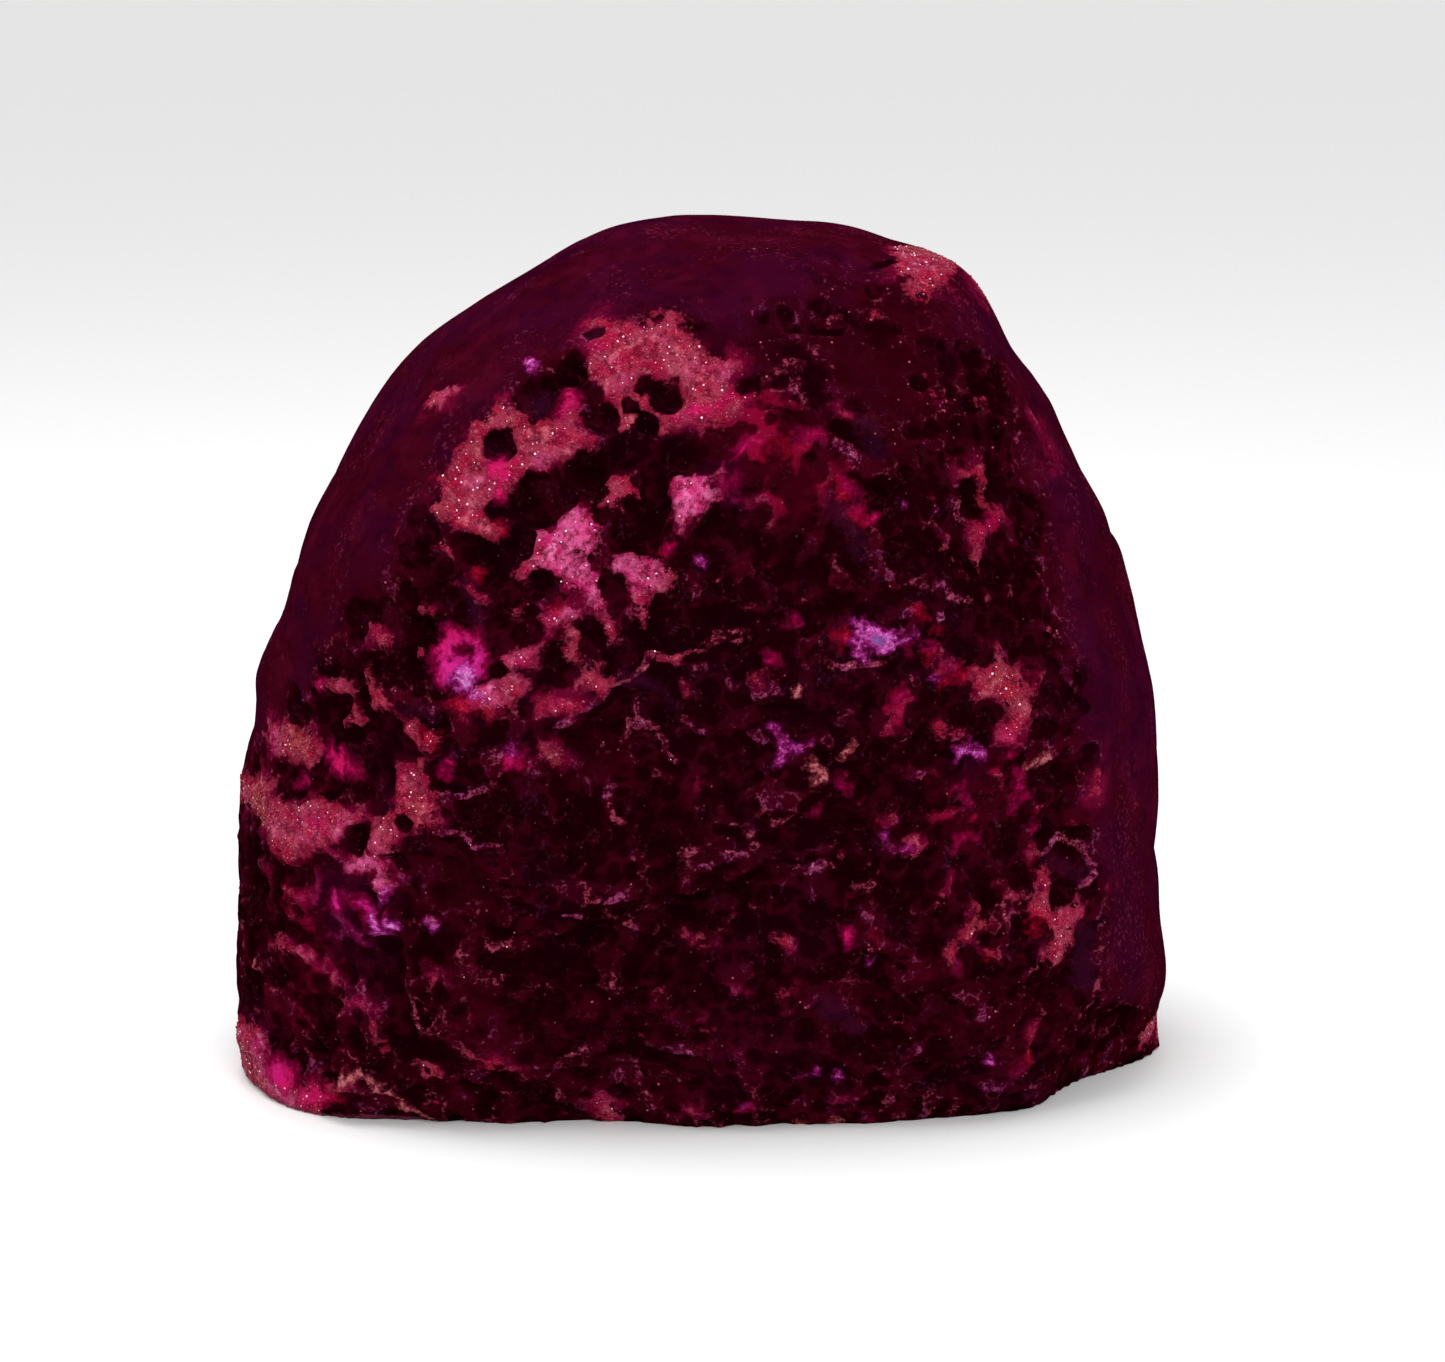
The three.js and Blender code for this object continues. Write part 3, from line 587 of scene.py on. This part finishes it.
def surface_fields(points, front, sunk, random):
    """Everything that varies over the stone, at its smooth body's points.

    Sunk is how far inside a deep pit they are, and takes the sugar away.
    """
    stir = stirred(stirred(points, 2, 0.6), 0.8, 0.4, 7)
    gentle = (stir + points) / 2
    torn = stirred(stir, 1.1, 0.7, 23)
    frayed = (torn + gentle) / 2
    ragged = fractal(points, 1.6)
    broad = fractal(points + 31, 5)

    plain = points[:, [0, 2]]
    pocked = np.where(front, polygon_depth(plain, FRONT_POCKED), polygon_depth(plain, REAR_POCKED))
    pocked = pocked + 1.3 * broad + 0.6 * ragged
    sugar = sugar_field(points, stir, front, pocked, broad, random)
    fields = {
        "ragged": ragged, "broad": broad, "pocked": pocked, "sunk": sunk,
        "sugar": sugar + 0.38 * ragged + 0.1 - 4 * smooth_step(0, 0.5, sunk),
        "tone": spots(points, TONES) + 0.35 * fractal(points - 57, 14, 2),
        "dye": spots(points, DYE) + 0.3 * broad,
        "calm": np.clip(spots(points, CALM), 0, 1),
    }
    # How far each kind of stroke is pushed about, and how ragged its edge is
    kinds = [
        ("crest", CREST_STROKES, gentle, 0), ("chip", CHIP_STROKES, gentle, 0.2),
        ("magenta", MAGENTA_STROKES, torn, 0.4), ("ember", EMBER_STROKES, torn, 0.3),
        ("lilac", LILAC_STROKES, frayed, 0.15), ("cream", CREAM_STROKES, frayed, 0.2),
        ("slate", SLATE_STROKES, stir, 0.3),
    ]
    for name, strokes, places, fray in kinds:
        fields[name] = stroke_field(places, on_front(strokes)) + fray * ragged
    rare = np.minimum(6 * (fractal(points + 140, 3.2) - 0.62), 0.4)
    rare = np.where(front | (pocked < 1), FAR_OUTSIDE, rare)
    fields["lilac"] = np.maximum(fields["lilac"], rare)
    return fields


# Pits and relief

def bowls(points, hollows):
    """Depth of roundish bowls, each (centre, radius, depth), and how far inside one each point is.

    The second is 1 in a bowl's middle, 0 at its edge and down to RIM on the crest round it.
    """
    points = stirred(points, 1.9, 0.55, 17)
    finder = kdtree.KDTree(len(points))
    for index, point in enumerate(points):
        finder.insert(point, index)
    finder.balance()
    depth = np.zeros(len(points))
    inside = np.full(len(points), RIM)
    for centre, radius, deep in hollows:
        found = finder.find_range(Vector(centre), radius * math.sqrt(1 - RIM))
        if found:
            index = np.array([hit[1] for hit in found])
            share = 1 - (np.array([hit[2] for hit in found]) / radius) ** 2
            depth[index] = np.maximum(depth[index], deep * np.maximum(share, 0) ** 0.75)
            inside[index] = np.maximum(inside[index], share)
    return depth, inside


def scattered_pits(points, fields, front, random):
    """Small pits at random places in the pocked rind, crowded together so that thin crests are left."""
    likely = smooth_step(0.2, 1.8, fields["pocked"]) * np.where(front, 0.55, 0.3)
    likely = likely * np.where(fields["sugar"] > -0.3, 0.12, 1) * (1 - 0.93 * fields["calm"])
    weight = likely / likely.sum()
    pits = []
    for index in random.choice(len(points), SMALL_PITS, replace=False, p=weight):
        small, large = (0.65, 2.0) if front[index] else (1.1, 2.6)
        radius = small * (large / small) ** random.random()
        pits.append((points[index], radius, radius * random.uniform(0.35, 0.7)))
    return pits


def listed_pits():
    """The deep pits and hollows on the front, as bowls."""
    found = [(face_point(x, z), radius * 1.15, radius * 0.95) for x, z, radius in PITS]
    for radius, *path in HOLLOWS:
        for (x0, z0), (x1, z1) in zip(path, path[1:]):
            steps = max(2, round(math.hypot(x1 - x0, z1 - z0) / radius * 1.6))
            for k in range(steps + 1):
                x, z = x0 + (x1 - x0) * k / steps, z0 + (z1 - z0) * k / steps
                found.append((face_point(x, z), radius, radius * 0.9))
    return found


def rear_pits(random):
    """Deep pits in the pocked part of the rear, at random."""
    places = random.uniform([-46, 4], [46, 74], (REAR_PIT_TRIES, 2))
    found = []
    for x, z in places[polygon_depth(places, REAR_POCKED) > 2.5]:
        radius = random.uniform(1.2, 2.6)
        found.append((face_point(x, z, 1), radius, radius * 0.8))
    return found


def stone_relief(points, fields, front, large, random):
    """How far the rind stands out from its form in millimetres, and how deep in pits it is, which the rind's
    paint darkens as painted shade.
    """
    broad, ragged, calm, sunk = (fields[name] for name in ("broad", "ragged", "calm", "sunk"))
    small, inside_small = bowls(points, scattered_pits(points, fields, front, random))
    pocked = smooth_step(-0.4, 1.2, fields["pocked"])
    sugared = smooth_step(-0.2, 0.5, fields["sugar"])
    low = smooth_step(46, 30, points[:, 2])

    # Terraces low on the broken rind, gentle rolls on the skin
    terraces = fractal(points / [2.6, 1.2, 0.8], 3.4)
    relief = -0.35 * pocked
    relief += pocked * (0.28 * broad + 0.16 * ragged + 0.6 * low * terraces)
    relief += (1 - pocked) * (0.22 * broad + 0.05 * ragged)

    # Small pits, shallower under the sugar, which is raised with the crests and bright spots
    small = small * (1 - 0.5 * calm) * (1 - 0.25 * low)
    relief -= small * (0.3 + 0.7 * pocked)
    relief += sugared * (0.18 + small * 0.55)
    relief += 0.3 * smooth_step(-0.25, 0.25, fields["crest"])
    relief += 0.25 * smooth_step(-0.3, 0.3, np.maximum(fields["lilac"], fields["cream"]))

    # Deep pits, the rims of all pits, and less relief on the flanks and by the floor
    dug = np.minimum(relief, relief * 0.4 - large * (0.4 + 0.6 * pocked))
    relief = np.where(large > 0, dug, relief)
    relief += 0.14 * pocked * bell(np.maximum(sunk, inside_small) + 0.15, 0.15)
    relief *= 1 - 0.72 * smooth_step(15, 3, np.abs(points[:, 1] - HEART[1]))
    relief *= 1 - 0.6 * smooth_step(5, 0.5, points[:, 2])

    # How strongly the small pits are painted dark as painted shade: less under sugar, low down and where the
    # rind is calm
    faint = 0.8 * pocked * (1 - 0.8 * sugared) * (1 - 0.35 * low) * (1 - 0.8 * calm)
    shallow = np.where(inside_small > 0, faint, 1) * inside_small
    crested = smooth_step(-0.25, 0.15, np.maximum(fields["crest"], fields["sugar"]))
    hollow = np.maximum(sunk, np.minimum(shallow, 1 - 1.5 * crested))
    return relief, np.where((pocked < 0.5) & (hollow < 0), RIM, hollow)


# The two pieces

def mesh_object(name, points, faces, sheet, values):
    """A mesh from millimetres, with its own map and one number per point for each value."""
    mesh = bpy.data.meshes.new(name)
    mesh.from_pydata((points * MM).tolist(), [], faces.tolist())
    uv_layer = mesh.uv_layers.new(name="OFBake")
    uv_layer.data.foreach_set("uv", sheet.ravel().astype(np.float32))
    for label, numbers in values.items():
        attribute = mesh.attributes.new(label, "FLOAT", "POINT")
        attribute.data.foreach_set("value", numbers.astype(np.float32))
    mesh.update()
    piece = bpy.data.objects.new(name, mesh)
    bpy.context.scene.collection.objects.link(piece)
    return piece


def make_stone(random):
    """The stone and, for the grains, its points, faces and fields."""
    sphere, faces, sheet = cube_sphere()
    directions = unit(crowd_forward(sphere) * [1.5, 1, 1.32])
    front = directions[:, 1] < 0
    smooth = body_points(directions)
    form = smooth + directions * rind_rise(smooth)[:, None]
    large, sunk = bowls(smooth, listed_pits() + rear_pits(random))
    fields = surface_fields(smooth, front, sunk, random)
    relief, fields["hollow"] = stone_relief(smooth, fields, front, large, random)
    points = fit_in_box(saw_base(form + normals_of(form, faces) * relief[:, None]))
    unseen = ("ragged", "broad", "sunk")
    values = {name: field for name, field in fields.items() if name not in unseen}
    stone = mesh_object("stone", points, faces, sheet, values)
    for polygon in stone.data.polygons:
        polygon.use_smooth = True
    return stone, points, faces, fields


def sugared_area(corners, faces, fields):
    """How many square millimetres of each square bear grains, and how deep in the sugar it is."""
    area = np.linalg.norm(np.cross(corners[:, 2] - corners[:, 0], corners[:, 3] - corners[:, 1]), axis=1) / 2
    depth = fields["sugar"][faces].mean(1)
    crest = fields["crest"][faces].mean(1)
    bare = (corners[:, :, 2].min(1) < 0.3) | (fields["sunk"][faces].max(1) > 0.15)
    share = 0.25 * smooth_step(0.1, 0.45, depth) + 0.75 * smooth_step(0.4, 1, depth)
    share = share + 0.1 * smooth_step(-0.1, 0.2, crest)
    return np.where(bare, 0, share) * area, depth


def grain_corners(at, normals, random):
    """The grains' eight corners, six round the shoulder, then tip and root, and a tint for each grain."""
    count = len(at)
    up = unit(normals + random.normal(0, 0.38, (count, 3)))
    side = unit(np.cross(up, random.normal(0, 1, (count, 3))))
    other = np.cross(up, side)
    tint = random.random(count)
    # Grains painted near white as glints are a little smaller
    width = (GRAIN_RADIUS + GRAIN_SPREAD * random.random(count) ** 2) * np.where(tint > PAINTED_GLINT, 0.8, 1)
    tall = width * random.uniform(0.35, 0.9, count)
    reach = width[:, None] * random.uniform(0.8, 1.15, (count, 6))
    ring = side[:, None] * np.cos(TURNS)[:, None] + other[:, None] * np.sin(TURNS)[:, None]
    ring = ring * reach[:, :, None]
    shoulder = at + up * (tall * 0.35)[:, None]
    tip = at + up * tall[:, None] + (ring[:, 0] + ring[:, 1]) * 0.15
    root = at - up * ROOT_DEPTH
    return np.concatenate([shoulder[:, None] + ring, tip[:, None], root[:, None]], 1), tint


def grain_sheet(count):
    """Each grain's triangles laid flat as a star, in a cell of its own on the map."""
    cells = math.ceil(math.sqrt(count))
    cell = np.stack([np.arange(count) % cells, np.arange(count) // cells], 1)
    near = 0.3 * np.stack([np.cos(TURNS), np.sin(TURNS)], 1)
    far = np.roll(near, -1, axis=0)
    tips = np.stack([near, far, np.zeros((6, 2))], 1)
    roots = np.stack([far, near, 0.825 * (near + far)], 1)
    star = np.concatenate([tips, roots])
    return ((cell[:, None, None] + 0.5 + star) / cells).reshape(-1, 2)


def grow_grains(points, faces, fields, random):
    """Hexagonal quartz points standing on the sugared rind, each one closed, as one mesh."""
    corners = points[faces]
    bearing, depth = sugared_area(corners, faces, fields)
    count = min(MOST_GRAINS, int(bearing.sum() * GRAINS_PER_MM2))
    chosen = random.choice(len(faces), count, p=bearing / bearing.sum())
    share = random.random((count, 2))
    u, v = share[:, :1], share[:, 1:]
    square = corners[chosen]
    near = square[:, 0] * (1 - u) + square[:, 1] * u
    far = square[:, 3] * (1 - u) + square[:, 2] * u
    normals = normals_of(points, faces)[faces[chosen]].mean(1)
    grains, tint = grain_corners(near * (1 - v) + far * v, normals, random)
    low, high = (np.array(corner) / MM for corner in CAD_BOX)
    kept = ((grains > low + GRAIN_MARGIN) & (grains < high - GRAIN_MARGIN)).all((1, 2))
    grains, chosen, tint = grains[kept], chosen[kept], tint[kept]
    count = len(grains)

    k = np.arange(6)
    after = (k + 1) % 6
    tips = np.stack([k, after, np.full(6, 6)], 1)
    roots = np.stack([after, k, np.full(6, 7)], 1)
    triangles = np.arange(count)[:, None, None] * 8 + np.concatenate([tips, roots])
    under = faces[chosen, 0]
    values = {
        "tint": tint,
        "tone": fields["tone"][under],
        "lilac": np.maximum(fields["lilac"], fields["cream"])[under],
        "hot": np.maximum(fields["magenta"], fields["ember"])[under],
        "depth": depth[chosen],
    }
    values = {name: np.repeat(value, 8) for name, value in values.items()}
    return mesh_object("sugar", grains.reshape(-1, 3), triangles.reshape(-1, 3), grain_sheet(count), values)


# Materials

def set_inputs(target, inputs):
    """Sets or links a node's inputs by name or place. A tuple is a colour of the screen, 0 to 255."""
    for place, value in inputs.items():
        if isinstance(value, bpy.types.NodeSocket):
            target.id_data.links.new(value, target.inputs[place])
        else:
            target.inputs[place].default_value = srgb(*value) if isinstance(value, tuple) else value


def node(kind, inputs, tree=None, **settings):
    """A new node with its settings and inputs, in the tree given or else beside its inputs' nodes."""
    sources = [value for value in inputs.values() if isinstance(value, bpy.types.NodeSocket)]
    made = (tree or sources[0].id_data).nodes.new("ShaderNode" + kind)
    for name, value in settings.items():
        setattr(made, name, value)
    set_inputs(made, inputs)
    return made


# Each of these gives back the socket of a new node

def maths(operation, first, second=0.0):
    return node("Math", {0: first, 1: second}, operation=operation).outputs[0]


def times(first, second):
    return maths("MULTIPLY", first, second)


def plus(first, second):
    return maths("ADD", first, second)


def swing(value, amount):
    """How far the value is from 0.5, times the amount."""
    return times(maths("SUBTRACT", value, 0.5), amount)


def step(value, low, high):
    """0 to 1 as the value goes from low to high, smoothly."""
    inputs = {"Value": value, "From Min": low, "From Max": high}
    return node("MapRange", inputs, interpolation_type="SMOOTHSTEP").outputs["Result"]


def mix(share, first, second):
    """A colour between two."""
    return node("Mix", {"Factor": share, 6: first, 7: second}, data_type="RGBA").outputs[2]


def between(share, first, second):
    """A number between two."""
    return node("Mix", {0: share, 2: first, 3: second}).outputs[0]


def layers(colour, *over):
    """The colour with layers over it: each (how strong, where, its colour).

    Where it lies is a mask, or a value with the low and high that it is stepped between.
    """
    for strength, mask, *ends, tint in over:
        if ends:
            mask = step(mask, *ends)
        if strength != 1:
            mask = times(mask, strength)
        colour = mix(mask, colour, tint)
    return colour


def bump(height, depth, strength, under=None):
    """Relief of that depth in millimetres from a height of 0 to 1, over the relief under it."""
    inputs = {"Strength": strength, "Distance": depth * MM, "Height": height}
    if under is not None:
        inputs["Normal"] = under
    return node("Bump", inputs).outputs["Normal"]


class Paint:
    """A material, with the nodes that its colours start from."""

    def __init__(self, name):
        self.material = bpy.data.materials.new(name)
        self.material.use_nodes = True
        self.tree = self.material.node_tree

    def attribute(self, name):
        return node("Attribute", {}, self.tree, attribute_name=name).outputs["Fac"]

    def noise(self, size, detail, roughness=0.55, stretch=(1, 1, 1)):
        """Noise with features of that size in millimetres, from about 0 to 1."""
        place = node("TexCoord", {}, self.tree).outputs["Object"]
        scale = [1 / (size * MM * s) for s in stretch]
        scaled = node("VectorMath", {0: place, 1: scale}, operation="MULTIPLY").outputs[0]
        inputs = {"Vector": scaled, "Scale": 1.0, "Detail": detail, "Roughness": roughness}
        return node("TexNoise", inputs).outputs["Fac"]

    def cells(self, size, warp):
        """Distance from the middles of cells warped by that many millimetres, as a share of their size."""
        place = node("TexCoord", {}, self.tree).outputs["Object"]
        stir = node("TexNoise", {"Vector": place, "Scale": 0.9 / (size * MM), "Detail": 2.0})
        inputs = {0: stir.outputs["Color"], 1: [warp * MM * 2] * 3, 2: place}
        moved = node("VectorMath", inputs, operation="MULTIPLY_ADD").outputs[0]
        return node("TexVoronoi", {"Vector": moved, "Scale": 1 / (size * MM)}).outputs["Distance"]

    def finish(self, inputs):
        """The material, once its surface's inputs are set."""
        set_inputs(self.tree.nodes["Principled BSDF"], inputs)
        return self.material


class Rind(Paint):
    """The rind's paint, with the textures that its layers share."""

    def __init__(self, name):
        super().__init__(name)
        self.specks = self.noise(0.2, 3)
        self.fine = self.noise(0.5, 4)
        self.grain = self.noise(1.5, 4)
        self.patch = self.noise(4.2, 4)
        self.broad = self.noise(12, 3)
        self.scoop = self.cells(2, 0.9)
        self.wobble = plus(swing(self.fine, 1.9), swing(self.specks, 0.7))
        self.erosion = swing(self.grain, 2.4)

    def edge(self, name, low, high, ragged=1.0, eroded=0.0):
        """0 to 1 as a field goes from low to high, frayed by the wobble and the erosion."""
        place = plus(self.attribute(name), times(self.wobble, ragged))
        if eroded:
            place = plus(place, times(self.erosion, eroded))
        return step(place, low, high)


def skin_colour(paint):
    """Dull skin, mottled plum and purple with faint pale flecks."""
    drift = paint.noise(7, 3, 0.6, (1, 1, 2.5))
    scuff = times(step(paint.fine, 0.54, 0.69), step(drift, 0.46, 0.62))
    return layers(
        mix(step(paint.broad, 0.4, 0.6), (49, 2, 15), (49, 3, 25)),
        (0.6, paint.patch, 0.5, 0.68, (65, 6, 25)),
        (0.7, paint.patch, 0.47, 0.34, (38, 1, 20)),
        (0.5, paint.grain, 0.46, 0.34, (34, 1, 13)),
        (0.5, scuff, (104, 34, 56)),
    )


def broken_colour(paint):
    """Broken rind: blood-dark, with purple haze, redder dye, and painted shadow, near black, as if under its
    ledges.
    """
    dye = plus(paint.attribute("dye"), swing(paint.grain, 2.6))
    dyed = mix(step(paint.attribute("tone"), 0.1, 0.8), (112, 4, 36), (100, 8, 54))
    # Stretched noise: where it is high, a redder mottle; where it is low, near-black painted shadow, as if
    # under ledges
    shadow_and_mottle = paint.noise(2.6, 3, stretch=(2.4, 1.2, 0.8))
    return layers(
        mix(step(paint.patch, 0.4, 0.6), (32, 0, 6), (52, 2, 14)),
        (0.7, paint.broad, 0.5, 0.64, (42, 2, 19)),
        (1, dye, 0.2, 1.4, dyed),
        (1, dye, -0.2, -0.9, (42, 0, 7)),
        (0.45, shadow_and_mottle, 0.54, 0.68, (56, 2, 18)),
        (0.8, shadow_and_mottle, 0.45, 0.34, (12, 0, 2)),
        (0.7, paint.attribute("calm"), (36, 1, 7)),
    )


def crest_mask(paint):
    """Where thin crests run: the strokes, and curls strewn over the rest of the broken rind."""
    curl = maths("ABSOLUTE", maths("SUBTRACT", paint.noise(3.2, 5, 0.62), 0.5))
    strewn = times(step(curl, 0.055, 0.0), step(paint.noise(2.6, 3), 0.41, 0.57))
    strewn = times(strewn, between(paint.attribute("calm"), 1.0, 0.2))
    return maths("MAXIMUM", paint.edge("crest", -0.3, 0.4, 1.3, 0.7), times(strewn, 0.85))


def rough_colour(paint, crest, dust, lace):
    """The broken rind with a dusty haze along its crests and pale specks strewn over it."""
    haze = mix(step(paint.patch, 0.42, 0.6), (78, 14, 30), (70, 12, 42))
    dots = step(paint.cells(1.2, 0.0), 0.13, 0.07)
    motes = times(dots, step(paint.noise(1.7, 2), 0.5, 0.56))
    return layers(
        broken_colour(paint),
        (0.5, crest, haze),
        (0.85, times(crest, step(dust, 0.63, 0.78)), lace),
        (0.85, times(crest, step(dust, 0.8, 0.9)), (190, 116, 138)),
        (0.8, motes, (170, 84, 104)),
    )


def pitted(paint, colour, dust, lace):
    """The colour with its pits painted dark, partly dark dye and partly painted shade, their floors ridged,
    their rims lighter, partly dusty colour and partly painted highlight, and with slate spots.
    """
    # How far inside a pit each place is, which the layers below paint dark as painted shade
    pit = plus(paint.attribute("hollow"), times(paint.wobble, 0.12))
    # A ring just round each pit, lighter in patches: partly dusty colour, partly painted highlight on the
    # rims
    rim = times(step(pit, -0.36, -0.2), step(pit, 0.08, -0.04))
    dust_and_rim_light = times(step(paint.grain, 0.46, 0.58), step(dust, 0.5, 0.68))
    ridges = times(step(paint.scoop, 0.5, 0.7), step(paint.patch, 0.4, 0.56))
    # The dark pit floor: partly dark dye, partly painted shade, with lighter ridges
    floor = layers((14, 0, 3), (0.8, ridges, (44, 2, 13)))
    return layers(
        colour,
        (0.55, times(rim, dust_and_rim_light), lace),
        (0.82, pit, 0.0, 0.34, floor),
        (0.45, paint.edge("slate", -0.5, 1.2), (52, 10, 34)),
    )


def sugar_colour(paint):
    """Quartz sugar, rose clouded with dusty pink: salmon or lilac by its tone."""
    tone = plus(paint.attribute("tone"), swing(paint.noise(4.2, 4), 2.4))
    lilac = step(tone, 0.0, 1.0)
    dusty = mix(step(tone, -0.9, -0.1), (132, 46, 46), (134, 38, 62))
    dusty = mix(lilac, dusty, (186, 72, 124))
    rose = mix(step(tone, -0.9, 0.0), (128, 28, 36), (136, 14, 46))
    rose = mix(lilac, rose, (164, 28, 88))
    pale = mix(lilac, (166, 72, 88), (204, 102, 150))
    return layers(
        mix(step(paint.noise(2.4, 3), 0.42, 0.58), dusty, rose),
        (1, paint.noise(1.3, 4), 0.53, 0.7, pale),
        (0.75, paint.noise(0.9, 4), 0.52, 0.38, (88, 5, 29)),
    )


def sugared(paint, colour):
    """The colour with quartz sugar over it: peppered, deep rose where thin, and bitten round its edge."""
    sugar = layers(
        sugar_colour(paint),
        (0.4, paint.specks, 0.54, 0.72, (190, 98, 118)),
        (0.38, paint.fine, 0.47, 0.33, (80, 4, 28)),
    )
    thin = mix(0.62, sugar, (96, 8, 34))
    sugar = mix(paint.edge("sugar", 0.1, 1.2, 0.8, 0.6), thin, sugar)
    bites = times(step(paint.scoop, 0.44, 0.22), -0.75)
    depth = plus(paint.attribute("sugar"), bites)
    depth = plus(depth, times(paint.wobble, 0.9))
    depth = plus(depth, times(paint.erosion, 0.7))
    return mix(step(depth, -0.2, 0.4), colour, sugar)


def stained(paint, colour):
    """The colour with spots of stronger dye over it, and of lilac to white, cream and the base's chips."""
    bright = mix(step(paint.attribute("tone"), 0.4, 1.2), (180, 20, 84), (192, 36, 132))
    lens = times(paint.edge("slate", 0.0, 0.3, 0.3), paint.edge("lilac", 0.1, 0.4, 0.4))
    return layers(
        colour,
        (0.75, paint.edge("ember", -0.8, 0.7, 0.8, 0.8), (124, 4, 32)),
        (0.8, paint.edge("ember", 0.3, 1.1, 1.2, 0.8), (178, 28, 54)),
        (0.8, paint.edge("magenta", -0.7, 0.7, 0.8, 0.5), (120, 4, 50)),
        (0.85, paint.edge("magenta", 0.2, 1.1, 0.8, 0.4), bright),
        (0.8, paint.edge("lilac", -0.5, 0.3, 0.7, 0.4), (124, 20, 88)),
        (0.9, paint.edge("lilac", 0.0, 0.6, 1.0, 0.5), (172, 72, 152)),
        (0.8, paint.edge("lilac", 0.5, 1.3, 1.8, 0.5), (206, 140, 196)),
        (0.8, lens, (88, 66, 124)),
        (0.8, paint.edge("cream", -0.2, 0.4, 0.7, 0.5), (112, 38, 48)),
        (0.8, paint.edge("cream", 0.2, 0.7, 1.2, 0.6), (166, 92, 100)),
        (0.7, paint.edge("chip", -0.2, 0.3, 0.4), (112, 52, 74)),
    )


def rind_material():
    """Dyed agate rind: plum skin and dark pocked stone, with pink sugar and spots of dye over them."""
    paint = Rind("dyed_rind")
    crest = crest_mask(paint)
    dust = plus(paint.noise(0.6, 5, 0.7), times(crest, 0.22))
    lace = mix(step(paint.patch, 0.42, 0.6), (132, 48, 68), (126, 48, 86))
    rough = rough_colour(paint, crest, dust, lace)
    halo = times(paint.edge("sugar", -1.6, 0.1, 1.4), step(paint.patch, 0.46, 0.6))
    colour = layers(
        skin_colour(paint),
        (1, paint.edge("pocked", -1.3, 1.3), rough),
        (0.6, halo, (104, 6, 42)),
    )
    colour = stained(paint, sugared(paint, pitted(paint, colour, dust, lace)))

    rugged = between(step(paint.attribute("pocked"), -0.5, 0.8), 0.12, 1.0)
    relief = bump(times(paint.scoop, rugged), 0.5, 0.6)
    relief = bump(times(paint.fine, rugged), 0.3, 0.5, relief)
    return paint.finish({
        "Base Color": colour,
        "Roughness": between(paint.edge("sugar", 0, 0.4), 0.6, 0.4),
        "Specular IOR Level": 0.0,
        "Specular Tint": (255, 90, 190),
        "Normal": bump(paint.specks, 0.1, 0.5, relief),
    })


def sugar_material():
    """Dyed quartz grains: the sugar's colour, deeper or paler at random, and a few painted near white as
    glints.
    """
    paint = Paint("dyed_quartz")
    tint = paint.attribute("tint")
    colour = layers(
        sugar_colour(paint),
        (0.6, tint, 0.35, 0.0, (104, 10, 38)),
        (0.55, tint, 0.6, 0.95, (190, 96, 120)),
        (0.75, paint.attribute("hot"), -0.3, 0.7, (178, 20, 68)),
        (0.5, paint.attribute("depth"), 1.1, 0.2, (108, 14, 42)),
        # Painted glint: the few grains with the highest tint painted near white
        (1, tint, PAINTED_GLINT, PAINTED_GLINT + 0.01, (250, 212, 226)),
        (0.7, paint.attribute("lilac"), 0.0, 0.4, (186, 106, 160)),
    )
    return paint.finish({
        "Base Color": colour,
        "Roughness": 0.22,
        "Specular IOR Level": 0.2,
        "Specular Tint": (255, 190, 215),
    })


def floor_material():
    return Paint("pale_floor").finish({"Base Color": (238, 238, 238), "Roughness": 0.9})


# Studio and camera, in metres

def area_light(name, place, size, power):
    """A rectangular light that shines on the stone."""
    data = bpy.data.lights.new(name, "AREA")
    data.shape = "RECTANGLE"
    data.size, data.size_y = size
    data.energy = power
    light = bpy.data.objects.new(name, data)
    light.location = place
    light.rotation_euler = (Vector(LIT_POINT) - Vector(place)).to_track_quat("-Z", "Y").to_euler()
    bpy.context.scene.collection.objects.link(light)


def make_studio():
    """A pale floor, two lights and an even white sky."""
    bpy.ops.mesh.primitive_plane_add(size=40, location=(0, 0, 0))
    floor = bpy.context.object
    floor.name = "floor"
    floor.data.materials.append(floor_material())
    area_light("overhead", (-0.12, -0.05, 0.62), (0.45, 0.35), 2.2)
    area_light("front", (0.25, -0.75, 0.45), (0.5, 0.4), 3.0)
    world = bpy.data.worlds.new("studio")
    world.use_nodes = True
    background = world.node_tree.nodes["Background"]
    background.inputs["Color"].default_value = (1, 1, 1, 1)
    background.inputs["Strength"].default_value = 0.9
    bpy.context.scene.world = world
    bpy.context.scene.view_settings.view_transform = "Standard"


def make_camera():
    """The photo's viewing angle, from in front and a little above."""
    target = Vector(CAMERA_TARGET)
    rise = math.radians(CAMERA_RISE)
    data = bpy.data.cameras.new("camera")
    data.lens = 90
    data.sensor_width = 36
    camera = bpy.data.objects.new("camera", data)
    camera.location = target + CAMERA_DISTANCE * Vector((0, -math.cos(rise), math.sin(rise)))
    camera.rotation_euler = (target - camera.location).to_track_quat("-Z", "Y").to_euler()
    bpy.context.scene.collection.objects.link(camera)
    bpy.context.scene.camera = camera


random = np.random.default_rng(SEED)
noise.seed_set(SEED)
stone, points, faces, fields = make_stone(random)
stone.data.materials.append(rind_material())
sugar = grow_grains(points, faces, fields, random)
sugar.data.materials.append(sugar_material())
for piece in (stone, sugar):
    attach(piece, "root")
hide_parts("geode")
make_studio()
make_camera()
